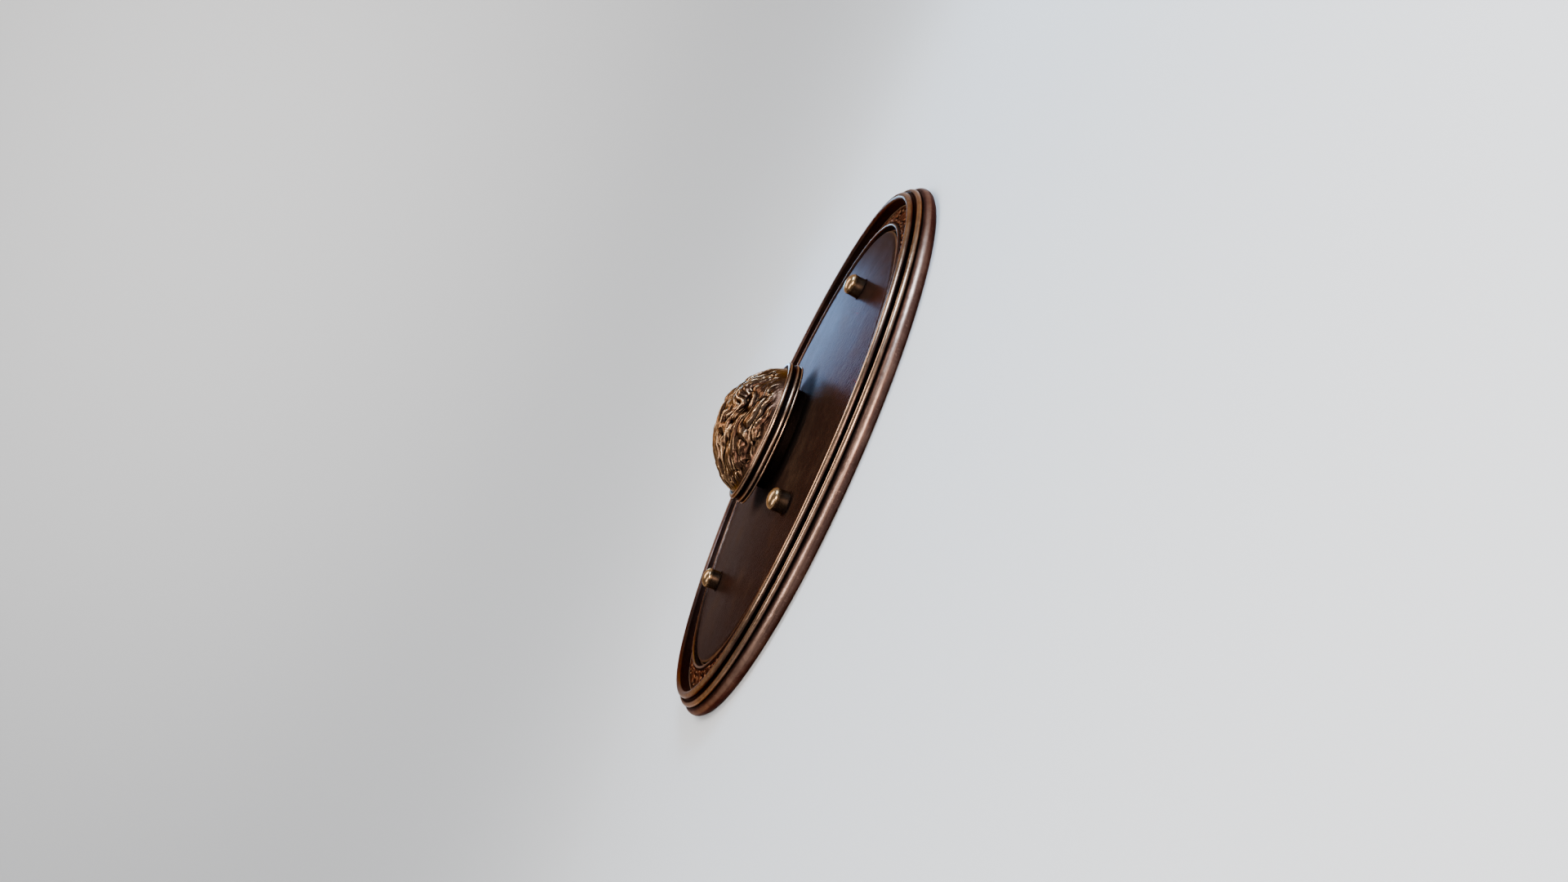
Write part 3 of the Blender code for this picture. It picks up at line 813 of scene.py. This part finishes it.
def gouged(along, square):
    """How deep the fine gouged cuts run at each point, from 0 to 1, by its place in mm."""
    depth = np.zeros(along.shape)
    for x0, y0, x1, y1, width in DEEP_CUTS:
        run = np.array((x1 - x0, y1 - y0))
        span = float(np.hypot(*run))
        share = ((along - x0) * run[0] + (square - y0) * run[1]) / span ** 2
        bend = 0.08 * span * np.sin(np.clip(share, 0, 1) * math.pi)
        off = ((along - x0) * -run[1] + (square - y0) * run[0]) / span - bend
        past = np.maximum(np.abs(share - 0.5) - 0.5, 0) * span
        taper = width * (0.35 + 0.65 * np.sin(np.clip(share, 0, 1) * math.pi))
        depth = np.maximum(depth, np.exp(-((off / taper) ** 2) - (past / width) ** 2))
    return depth


def lock_relief(across, aside, grid, sizes):
    """The dome's carving in metres: broad locks that run from end to end, cut into strands, and two curls.

    across and aside are shares of the dome's base radius, along the locks and square to them.
    """
    base = sizes.flange - DOME_SET_BACK
    away = np.hypot(across, aside)
    cuts = gouged(across * base / MM, aside * base / MM)
    turns = sizes.lock_count * lean_across(across, aside)
    broad = sizes.lock_relief * 0.75 * np.cos(turns + 1.4 * np.sin(3.1 * across))

    # Equal steps of a and b are equal lengths along the dome, so that strands keep their width down its side
    sphere = dome_sphere(base, sizes.dome_height)
    side_length = sphere * math.asin(base / sphere)
    even = np.arcsin(np.clip(away * base / sphere, 0, 1)) * sphere / side_length / np.maximum(away, 1e-6)
    a, b = across * even, aside * even
    # Each curl turns the strands about its middle, where the relief also swells
    swell = 0
    twist_a, twist_b = a, b
    for side in (-1, 1):
        u = a - CURL_AHEAD
        v = b - CURL_ASIDE * side
        near = np.exp(-((u ** 2 + v ** 2) / CURL_REACH ** 2))
        spin = 1.5 * side * near
        twist_a = twist_a + u * (np.cos(spin) - 1) - v * np.sin(spin)
        twist_b = twist_b + v * (np.cos(spin) - 1) + u * np.sin(spin)
        swell = swell + near
    a, b = twist_a, twist_b
    beside = np.tan(0.5 * lean_across(a, b)) * LOCKS_MEET * side_length
    beside = beside + 2.4 * MM * lumps(grid, 17 * MM, 31) + 1.5 * MM * lumps(grid, 8 * MM, 32)
    # Strands end rather than narrow to nothing where the locks draw together
    beside = beside * np.sqrt(np.clip(1 - (a / LOCKS_MEET) ** 2, 0.1, 1))
    ahead = a * side_length + 4 * MM * lumps(grid, 12 * MM, 38)
    # Strands some three times as long as wide: torn ones about the crown, combed ones down the sides
    flow = np.stack([ahead / 3.4, beside, 0 * beside], axis=-1)
    torn = (crease(lumps(flow, 5.2 * MM, 33), 0.09) / 0.6) ** 0.85
    combed = (crease(np.sin(math.pi * beside / (7.6 * MM)), 0.1) / 0.9) ** 0.75
    mix = smooth(0.3, 0.8, np.abs(a) + 0.3 * lumps(grid, 16 * MM, 39))
    strand = np.minimum(torn * (1 - 0.75 * mix) + combed * 0.75 * mix, 1.1)
    # Fine splits in the strands, cuts of uneven depth, and a smoother band along the middle behind the crown
    split = np.minimum(crease(lumps(flow * (0.6, 1, 1), 2.6 * MM, 34), 0.15) / 0.42, 1)
    deep = np.clip(0.8 + 0.3 * lumps(grid, 15 * MM, 40) + 0.5 * lumps(flow, 9 * MM, 42), 0.35, 1.15)
    crown = np.exp(-((aside / 0.1) ** 2)) * smooth(0.3, -0.1, across)
    relief = broad + 0.7 * MM * swell + sizes.strand_relief * deep * (strand - 0.6)
    relief = (relief + 0.17 * sizes.strand_relief * (split - 0.7)) * (1 - 0.55 * crown)
    rough = 0.14 * lumps(grid, 3.2 * MM, 35) + 0.07 * lumps(grid, 1.6 * MM, 36)
    # The carving dies away to a plain edge, broader ahead of the crown than behind it
    edge = 0.006 + 0.014 * smooth(-0.1, 0.6, across)
    within = smooth(edge, edge + 0.05 + 0.05 * smooth(0, 0.7, across), 1 - away)
    return (relief + rough * MM - CUT_DEPTH * cuts) * within


class SHIELD_OT_boss(bpy.types.Operator):
    """Builds the hollow boss: carved dome, flange of two beads, neck and the sleeve rolled out behind."""

    bl_idname = "shield.boss"
    bl_label = "Boss"

    def execute(self, context):
        plate = context.scene.shield_plate
        sizes = context.scene.shield_boss
        hole = sizes.hand_hole
        foot, neck_top, lower_z, upper_z, dome_foot = boss_levels(context)
        base = sizes.flange - DOME_SET_BACK
        sphere = dome_sphere(base, sizes.dome_height)
        centre = (0, dome_foot - (sphere - sizes.dome_height))
        base_angle = math.degrees(math.asin((sphere - sizes.dome_height) / sphere))
        hollow = base - DOME_WALL
        inner_height = sizes.dome_height - DOME_WALL
        inner_sphere = dome_sphere(hollow, inner_height)
        inner_centre = (0, dome_foot - (inner_sphere - inner_height))
        inner_angle = math.degrees(math.asin((inner_sphere - inner_height) / inner_sphere))
        sleeve = hole + SLEEVE_WALL
        neck = hole + NECK_WALL
        roll_top = field_height(plate, sleeve) - PLATE_WALL - REST_GAP
        spine = np.array((math.cos(sizes.turn), math.sin(sizes.turn)))
        square = np.array((-math.sin(sizes.turn), math.cos(sizes.turn)))
        kept = []

        def carved(grid):
            plan = grid[..., :2] / base
            kept.append(lock_relief(plan @ spine, plan @ square, grid, sizes))
            away = np.linalg.norm(grid - (0, 0, centre[1]), axis=-1)
            outside = (np.abs(away - sphere) < 0.05 * MM) & (grid[..., 2] > dome_foot)
            return kept[0] * outside

        # The dome, carved outside and plain inside
        rows = arc(centre, sphere, 90, base_angle, 128)
        rows[0] = (0, rows[0][1])
        edge = dome_foot - 0.4 * MM
        rows += [(base - 0.1 * MM, edge), (hollow, edge), (hollow, dome_foot)]
        rows += arc(inner_centre, inner_sphere, inner_angle, 90, 12)[1:]
        rows[-1] = (0, rows[-1][1])
        mesh = turned("boss_dome", rows, 640, carved, BOSS_HIGH.z - 0.05 * MM)
        inside = hollow + 0.5 * MM
        paint(mesh, (lambda r, z, out, up: (r < inside) & ((out < -0.2) | (up < -0.2)), 1))
        store_wear(mesh, 620, 380)
        # Painted shade in the carving's low places, fuller the deeper they lie
        low = 0.7 * (1 - smooth(-2.6 * MM, -0.8 * MM, kept[0].ravel()))
        raise_to(mesh, "hollow", np.append(low, (0, 0)))
        materials = [chased_bronze(), inner_bronze()]
        piece("boss_dome", mesh, materials, ["boss"])

        # Under it the flange of two beads, the neck, and the sleeve rolled out behind the plate
        seam = dome_foot - 0.42 * MM
        rows = [(hollow, seam), (base - 0.1 * MM, seam)]
        upper = (sizes.flange - UPPER_BEAD_SET_BACK - UPPER_BEAD, upper_z)
        lower = (sizes.flange - LOWER_BEAD, lower_z)
        rows += arc(upper, UPPER_BEAD, 138, -66, 16)
        rows += arc(lower, LOWER_BEAD, 66, -66, 12)
        rows += eased(
            [
                (sizes.flange - 1.6 * MM, neck_top + 2.4 * MM),
                (sizes.flange + 0.2 * MM, neck_top + 2.2 * MM),
                (sizes.flange + 0.2 * MM, neck_top),
                (neck, neck_top - 1.5 * MM),
                (neck, foot),
                (sleeve, foot),
                (sleeve, roll_top),
                (sleeve + 3 * MM, roll_top),
                (sleeve + 3 * MM, roll_top - 2 * MM),
                (hole, roll_top - 2 * MM),
                (hole, neck_top + 4 * MM),
                (hollow, neck_top + 4 * MM),
                (hollow, seam - 2 * MM),
            ],
            0.9 * MM,
            3,
        )

        def softened(grid):
            outside = (grid[..., 2] > neck_top) & (from_axis(grid) > base + 1 * MM)
            return (0.07 * lumps(grid, 12 * MM, 37) - 0.08) * MM * outside

        mesh = turned("boss_flange", rows, 384, softened)
        paint(
            mesh,
            (lambda r, z, out, up: z <= neck_top - 0.8 * MM, 1),
            (lambda r, z, out, up: (z < roll_top + 0.2 * MM) | ((r < inside) & (out < -0.2)), 2),
            (lambda r, z, out, up: (r < inside) & (up > 0.5) & (z < seam - 1 * MM), 2),
        )
        store_wear(mesh, 700, 400)
        # Painted shade in the grooves between the dome's edge, the two beads and the flange's lip
        dome_edge = (base - 2 * MM, dome_foot + 2 * MM, 0.5 * MM)
        lip = (sizes.flange - 0.8 * MM, neck_top + 1.2 * MM, 1 * MM)
        shade_between(mesh, [dome_edge, (*upper, UPPER_BEAD), (*lower, LOWER_BEAD), lip], 1.5 * MM)
        # Painted shadow on the neck, under the overhang of the flange
        r, z = radius_and_height(mesh)
        raise_to(mesh, "hollow", 0.95 * (z < neck_top) * (r > hole + 1 * MM))
        materials = [bead_bronze(), field_bronze(), inner_bronze()]
        piece("boss_flange", mesh, materials, ["boss"])
        return {"FINISHED"}


# Studs

# How far a crown rises, how dark a collar is, and where the first stud of each pair stands round the boss
CROWN_RISE = 7 * MM
COLLAR_DARK = 0.7
ON_GRIP, ON_FIELD = 0.0, math.pi / 2


def stud_mesh(sizes, behind):
    """A stud standing on its own foot: rounded crown, thin collar, shank, and a clenched tail behind."""
    radius = sizes.stud_radius
    height = sizes.stud_height
    shank = 4.5 * MM
    tail = -behind - REST_GAP
    tail_end = tail - 2.6 * MM
    rows = arc((0, height - CROWN_RISE), radius, 90, 6, 14, squash=CROWN_RISE / radius)
    rows[0] = (0, height)
    side = [
        (radius - 0.03 * MM, height - 7.2 * MM),
        (radius - 0.15 * MM, height - 10 * MM),
        (radius - 0.05 * MM, 0.7 * MM),
    ]
    collar = [(12.4 * MM, 0.6 * MM), (12.6 * MM, 0.3 * MM)]
    below = [(shank, 0.3 * MM), (shank, tail), (8 * MM, tail), (4.8 * MM, tail_end), (0.6 * MM, tail_end)]
    rows += eased(side + collar + below, 0.45 * MM, 3)
    rows.append((0, tail_end))

    mesh = turned("stud", rows, 64, lambda grid: 0.14 * lumps(grid, 7 * MM, 41) * MM - 0.1 * MM)
    store_wear(mesh, 120, 260)
    r, z = radius_and_height(mesh)
    on_collar = (r > radius + 0.05 * MM) & (z > 0) & (z < 1.6 * MM)
    change(mesh, "wear", lambda now: np.where(on_collar, 0, now))
    change(mesh, "hollow", lambda now: np.where(on_collar, COLLAR_DARK, now))
    return mesh


def ring_tree():
    """Geometry nodes that stand copies of an object round a circle, square to a field that falls away."""
    tree = bpy.data.node_groups.new("ring_of_studs", "GeometryNodeTree")
    for name, kind in (
        ("Stud", "Object"),
        ("Count", "Int"),
        ("Circle radius", "Float"),
        ("Height", "Float"),
        ("Lean", "Float"),
        ("Turn", "Float"),
        ("Bronze", "Material"),
    ):
        tree.interface.new_socket(name, in_out="INPUT", socket_type="NodeSocket" + kind)
    tree.interface.new_socket("Geometry", in_out="OUTPUT", socket_type="NodeSocketGeometry")
    given = add(tree, "NodeGroupInput").outputs
    index = add(tree, "GeometryNodeInputIndex")
    step = add(tree, "ShaderNodeMath", {0: 2 * math.pi, 1: given["Count"]}, operation="DIVIDE")
    angle = add(tree, "ShaderNodeMath", {0: index, 1: step, 2: given["Turn"]}, operation="MULTIPLY_ADD")
    legs = {"Z": given["Height"]}
    for axis, operation in (("X", "COSINE"), ("Y", "SINE")):
        share = add(tree, "ShaderNodeMath", {0: angle}, operation=operation)
        legs[axis] = add(tree, "ShaderNodeMath", {0: share, 1: given["Circle radius"]}, operation="MULTIPLY")
    place = add(tree, "ShaderNodeCombineXYZ", legs)
    points = add(tree, "GeometryNodePoints", {"Count": given["Count"], "Position": place})
    euler = add(tree, "ShaderNodeCombineXYZ", {"Y": given["Lean"], "Z": angle})
    stand = add(tree, "FunctionNodeEulerToRotation", {0: euler})
    stud = add(tree, "GeometryNodeObjectInfo", {"Object": given["Stud"]}).outputs["Geometry"]
    inputs = {"Points": points, "Instance": stud, "Rotation": stand}
    copies = add(tree, "GeometryNodeInstanceOnPoints", inputs)
    real = add(tree, "GeometryNodeRealizeInstances", {"Geometry": copies})
    dressed = add(tree, "GeometryNodeSetMaterial", {"Geometry": real, "Material": given["Bronze"]})
    add(tree, "NodeGroupOutput", {"Geometry": dressed})
    return tree


def ring_of(name, tree, inputs):
    """The mesh that the tree makes with those inputs."""
    holder = placed(name + "_holder", bpy.data.meshes.new(name + "_holder"))
    modifier = holder.modifiers.new("ring", "NODES")
    modifier.node_group = tree
    for item in tree.interface.items_tree:
        if item.in_out == "INPUT":
            modifier[item.identifier] = inputs[item.name]
    bpy.context.view_layer.update()
    graph = bpy.context.evaluated_depsgraph_get()
    mesh = bpy.data.meshes.new_from_object(holder.evaluated_get(graph))
    mesh.name = name
    holder.modifiers.remove(modifier)
    bpy.data.objects.remove(holder)
    return mesh


class SHIELD_OT_studs(bpy.types.Operator):
    """Builds the four studs, two riveted through the grip and two through the field alone."""

    bl_idname = "shield.studs"
    bl_label = "Studs"

    def execute(self, context):
        plate = context.scene.shield_plate
        sizes = context.scene.shield_fittings
        slope = 2 * plate.field_rise * sizes.stud_circle / (field_radius(plate) - LIP_WIDTH) ** 2
        strap_top = field_height(plate, sizes.stud_circle + STRAP_END) - PLATE_WALL - REST_GAP
        height = field_height(plate, sizes.stud_circle)
        through_grip = height - strap_top + STRAP_THICKNESS + slope * 8 * MM
        tree = ring_tree()
        for name, behind, turn, nodes in (
            ("studs_on_grip", through_grip, ON_GRIP, ("stud_1", "stud_3")),
            ("studs_on_field", PLATE_WALL, ON_FIELD, ("stud_2", "stud_4")),
        ):
            master = placed(name + "_master", stud_mesh(sizes, behind))
            master.data.shade_smooth()
            inputs = {
                "Stud": master,
                "Count": 2,
                "Circle radius": sizes.stud_circle,
                "Height": height,
                "Lean": math.atan(slope),
                "Turn": turn,
                "Bronze": handled_bronze(),
            }
            mesh = ring_of(name, tree, inputs)
            bpy.data.objects.remove(master)
            # The tree leaves an empty first slot, so the slots are filled anew, the collars' bronze second
            mesh.materials.clear()
            dark = read(mesh.attributes["hollow"].data, "value", 1, np.float32)[:, 0] > COLLAR_DARK - 0.01
            collars = [dark[list(face.vertices)].all() for face in mesh.polygons]
            mesh.polygons.foreach_set("material_index", np.array(collars, np.int32))
            piece(name, mesh, [handled_bronze(), field_bronze()], nodes)
        return {"FINISHED"}


# Grip

# Half the handle's length, how far it takes to become a strap, and how far it bows back into the hand
HANDLE_HALF = 49 * MM
HANDLE_TAPER = 18 * MM
HANDLE_BOW = 6.5 * MM
GRIP_SIDES = 36


class SHIELD_OT_grip(bpy.types.Operator):
    """Builds the grip behind the boss: an oval handle that flattens to a riveted strap at each end."""

    bl_idname = "shield.grip"
    bl_label = "Grip"

    def execute(self, context):
        plate = context.scene.shield_plate
        sizes = context.scene.shield_fittings
        end = sizes.stud_circle + STRAP_END
        middle = field_height(plate, end) - PLATE_WALL - REST_GAP - STRAP_THICKNESS / 2
        taper_end = HANDLE_HALF + HANDLE_TAPER
        rounding = STRAP_WIDTH / 2
        round_end = end - rounding
        # Places of the sections, from the rounded end of one strap to the middle and on to the other end
        stations = [-round_end - rounding * math.sin(a) for a in np.radians(np.linspace(89, 5, 12))]
        stations += list(np.linspace(-round_end, -taper_end, 14))
        stations += list(np.linspace(-taper_end, -HANDLE_HALF, 14)[1:])
        stations += list(np.linspace(-HANDLE_HALF, 0, 14)[1:])
        stations += [-x for x in reversed(stations[:-1])]
        verts = []
        for x in stations:
            to_strap = float(smooth(HANDLE_HALF, taper_end, abs(x)))
            to_hand = 1 - to_strap
            out = min(abs(x) / HANDLE_HALF, 1) ** 2
            width = sizes.grip_width * (1 - 0.14 * out) * to_hand + STRAP_WIDTH * to_strap
            thick = sizes.grip_thickness * (1 - 0.18 * out) * to_hand + STRAP_THICKNESS * to_strap
            if abs(x) > round_end:
                width *= math.sqrt(max(1 - ((abs(x) - round_end) / rounding) ** 2, 0.0009))
            # From an oval in the hand to a flat strap with rounded edges
            power = 2 / (2.2 + 3.2 * to_strap)
            for a in np.radians(np.arange(GRIP_SIDES) * 360 / GRIP_SIDES):
                y = math.copysign(abs(math.cos(a)) ** power, math.cos(a)) * width / 2
                z = math.copysign(abs(math.sin(a)) ** power, math.sin(a)) * thick / 2
                verts.append((x, y, middle + z - HANDLE_BOW * to_hand))
        last = (len(stations) - 1) * GRIP_SIDES
        faces = []
        for i in range(0, last, GRIP_SIDES):
            for j in range(GRIP_SIDES):
                k = (j + 1) % GRIP_SIDES
                faces.append((i + j, i + k, i + GRIP_SIDES + k, i + GRIP_SIDES + j))
        faces += [tuple(range(GRIP_SIDES))[::-1], tuple(range(last, last + GRIP_SIDES))]
        mesh = mesh_of("grip", verts, faces)
        shape = bmesh.new()
        shape.from_mesh(mesh)
        bmesh.ops.recalc_face_normals(shape, faces=shape.faces)
        shape.to_mesh(mesh)
        shape.free()
        store_wear(mesh, 140, 200)
        piece("grip_dressed", mesh, [handled_bronze()], ["grip"])
        return {"FINISHED"}


# Studio

# The photo's camera, fitted to the rim's rings: lens in mm, place in metres, and azimuth, elevation and roll
# in degrees
CAMERA_LENS = 24.444
CAMERA_PLACE = (0.32338, -1.09059, 0.17045)
CAMERA_ANGLES = (16.531, 7.268, -66.08)

# Name, place, target, size, watts and colour of each soft light. The last is low behind and out of sight,
# for the cool sheen across the field
LIGHTS = (
    ("key_light", (-0.5, -1.5, 1.3), (0, 0, 0.03), (2.0, 0.35), 30, (1, 1, 1)),
    ("side_light", (1.6, -0.1, 0.8), (0, 0, 0.03), (0.7, 0.5), 50, (0.5, 0.72, 1)),
    ("low_light", (0.85, -1.4, 0.36), (0, -0.05, 0.04), (0.45, 0.2), 24, (1, 0.95, 0.89)),
    ("top_light", (0, 0.75, 1.7), (0, 0, 0.03), (1.8, 0.5), 28, (1, 1, 1)),
    ("sweep_light", (-0.5, 2.5, 5.2), (-1.5, 6, 1.5), (3, 2), 250, (1, 1, 1)),
    ("sheen_light", (-0.22, 1.87, 0.42), (0.08, -0.05, 0.02), (0.42, 0.42), 0.5, (0.15, 0.48, 1)),
)
SHEEN_SPREAD = math.radians(24)
AIR_COLOUR = (0.9, 0.93, 1.0, 1)
AIR_STRENGTH = 0.32

# The floor lies level to that radius, and then sweeps that far out and up to a wall, in metres
FLOOR_LEVEL = 1.0
SWEEP_OUT, SWEEP_UP = 5.5, 6.0
FLOOR_DROP = 0.2 * MM
FLOOR_SIDES = 96


class SHIELD_OT_stage(bpy.types.Operator):
    """Builds the pale floor, the soft studio lights and the camera."""

    bl_idname = "shield.stage"
    bl_label = "Stage"

    def execute(self, context):
        scene = context.scene
        rows = [(0.3, 0), (FLOOR_LEVEL, 0)]
        for a in np.radians(np.arange(3, 91, 3)):
            rows.append((FLOOR_LEVEL + SWEEP_OUT * math.sin(a), SWEEP_UP - SWEEP_UP * math.cos(a)))
        verts = [(0, 0, -FLOOR_DROP)]
        for r, z in rows:
            for a in np.arange(FLOOR_SIDES) * 2 * math.pi / FLOOR_SIDES:
                verts.append((r * math.cos(a), r * math.sin(a), z - FLOOR_DROP))
        faces = []
        for j in range(FLOOR_SIDES):
            k = (j + 1) % FLOOR_SIDES
            faces.append((0, 1 + j, 1 + k))
            for a in range(1, 1 + (len(rows) - 1) * FLOOR_SIDES, FLOOR_SIDES):
                b = a + FLOOR_SIDES
                faces.append((a + j, b + j, b + k, a + k))
        mesh = mesh_of("studio_sweep", verts, faces)
        mesh.shade_smooth()
        # Plywood rolled with pale matt paint: it has no shine and gives soft, even light back to the bronze
        material = bpy.data.materials.new("painted_plywood")
        material.use_nodes = True
        shader = material.node_tree.nodes["Principled BSDF"].inputs
        shader["Base Color"].default_value = [*scene.shield_finish.floor, 1]
        shader["Roughness"].default_value = 0.85
        mesh.materials.append(material)
        sweep = placed("studio_sweep", mesh)

        for name, place, target, size, watts, tint in LIGHTS:
            light = bpy.data.lights.new(name, "AREA")
            light.shape = "RECTANGLE"
            light.size, light.size_y = size
            light.energy = watts
            light.color = tint
            lamp = placed(name, light)
            lamp.location = place
            lamp.rotation_euler = (Vector(target) - Vector(place)).to_track_quat("-Z", "Y").to_euler()
        light.spread = SHEEN_SPREAD
        lamp.visible_camera = False

        scene.world = bpy.data.worlds.new("studio_air")
        scene.world.use_nodes = True
        air = scene.world.node_tree.nodes["Background"].inputs
        air["Color"].default_value = AIR_COLOUR
        air["Strength"].default_value = AIR_STRENGTH

        camera = bpy.data.cameras.new("camera")
        camera.sensor_width = 36
        camera.lens = CAMERA_LENS
        camera.clip_start = 0.01
        stand = placed("camera", camera)
        turn, tilt, roll = (math.radians(angle) for angle in CAMERA_ANGLES)
        ahead = Vector((-math.sin(turn) * math.cos(tilt), math.cos(turn) * math.cos(tilt), -math.sin(tilt)))
        right = ahead.cross(Vector((0, 0, 1))).normalized()
        rolled = right * math.cos(roll) + right.cross(ahead) * math.sin(roll)
        axes = Matrix((rolled, rolled.cross(ahead), -ahead)).transposed().to_4x4()
        stand.matrix_world = Matrix.Translation(Vector(CAMERA_PLACE)) @ axes
        scene.camera = stand
        return {"FINISHED"}


class SHIELD_PT_panel(bpy.types.Panel):
    """Lists the shield's pieces and their sizes"""

    bl_idname = "SHIELD_PT_panel"
    bl_label = "Bronze shield"
    bl_space_type = "VIEW_3D"
    bl_region_type = "UI"
    bl_category = "Shield"

    def draw(self, context):
        layout = self.layout
        for group in ("shield_plate", "shield_boss", "shield_fittings", "shield_finish"):
            box = layout.box()
            settings = getattr(context.scene, group)
            for name in settings.__annotations__:
                box.prop(settings, name)
        for operator in OPERATORS:
            layout.operator(operator.bl_idname)


OPERATORS = (
    SHIELD_OT_field,
    SHIELD_OT_channel,
    SHIELD_OT_rim,
    SHIELD_OT_boss,
    SHIELD_OT_studs,
    SHIELD_OT_grip,
    SHIELD_OT_stage,
)
GROUPS = (
    (ShieldPlateSizes, "shield_plate"),
    (ShieldBossSizes, "shield_boss"),
    (ShieldFittingSizes, "shield_fittings"),
    (ShieldFinish, "shield_finish"),
)


def register():
    for group, name in GROUPS:
        bpy.utils.register_class(group)
        setattr(bpy.types.Scene, name, PointerProperty(type=group))
    for operator in OPERATORS:
        bpy.utils.register_class(operator)
    bpy.utils.register_class(SHIELD_PT_panel)


def unregister():
    bpy.utils.unregister_class(SHIELD_PT_panel)
    for operator in reversed(OPERATORS):
        bpy.utils.unregister_class(operator)
    for group, name in reversed(GROUPS):
        delattr(bpy.types.Scene, name)
        bpy.utils.unregister_class(group)


def main():
    register()
    bpy.ops.shield.field()
    bpy.ops.shield.channel()
    bpy.ops.shield.rim()
    bpy.ops.shield.boss()
    bpy.ops.shield.studs()
    bpy.ops.shield.grip()
    bpy.ops.shield.stage()


if __name__ == "__main__":
    main()
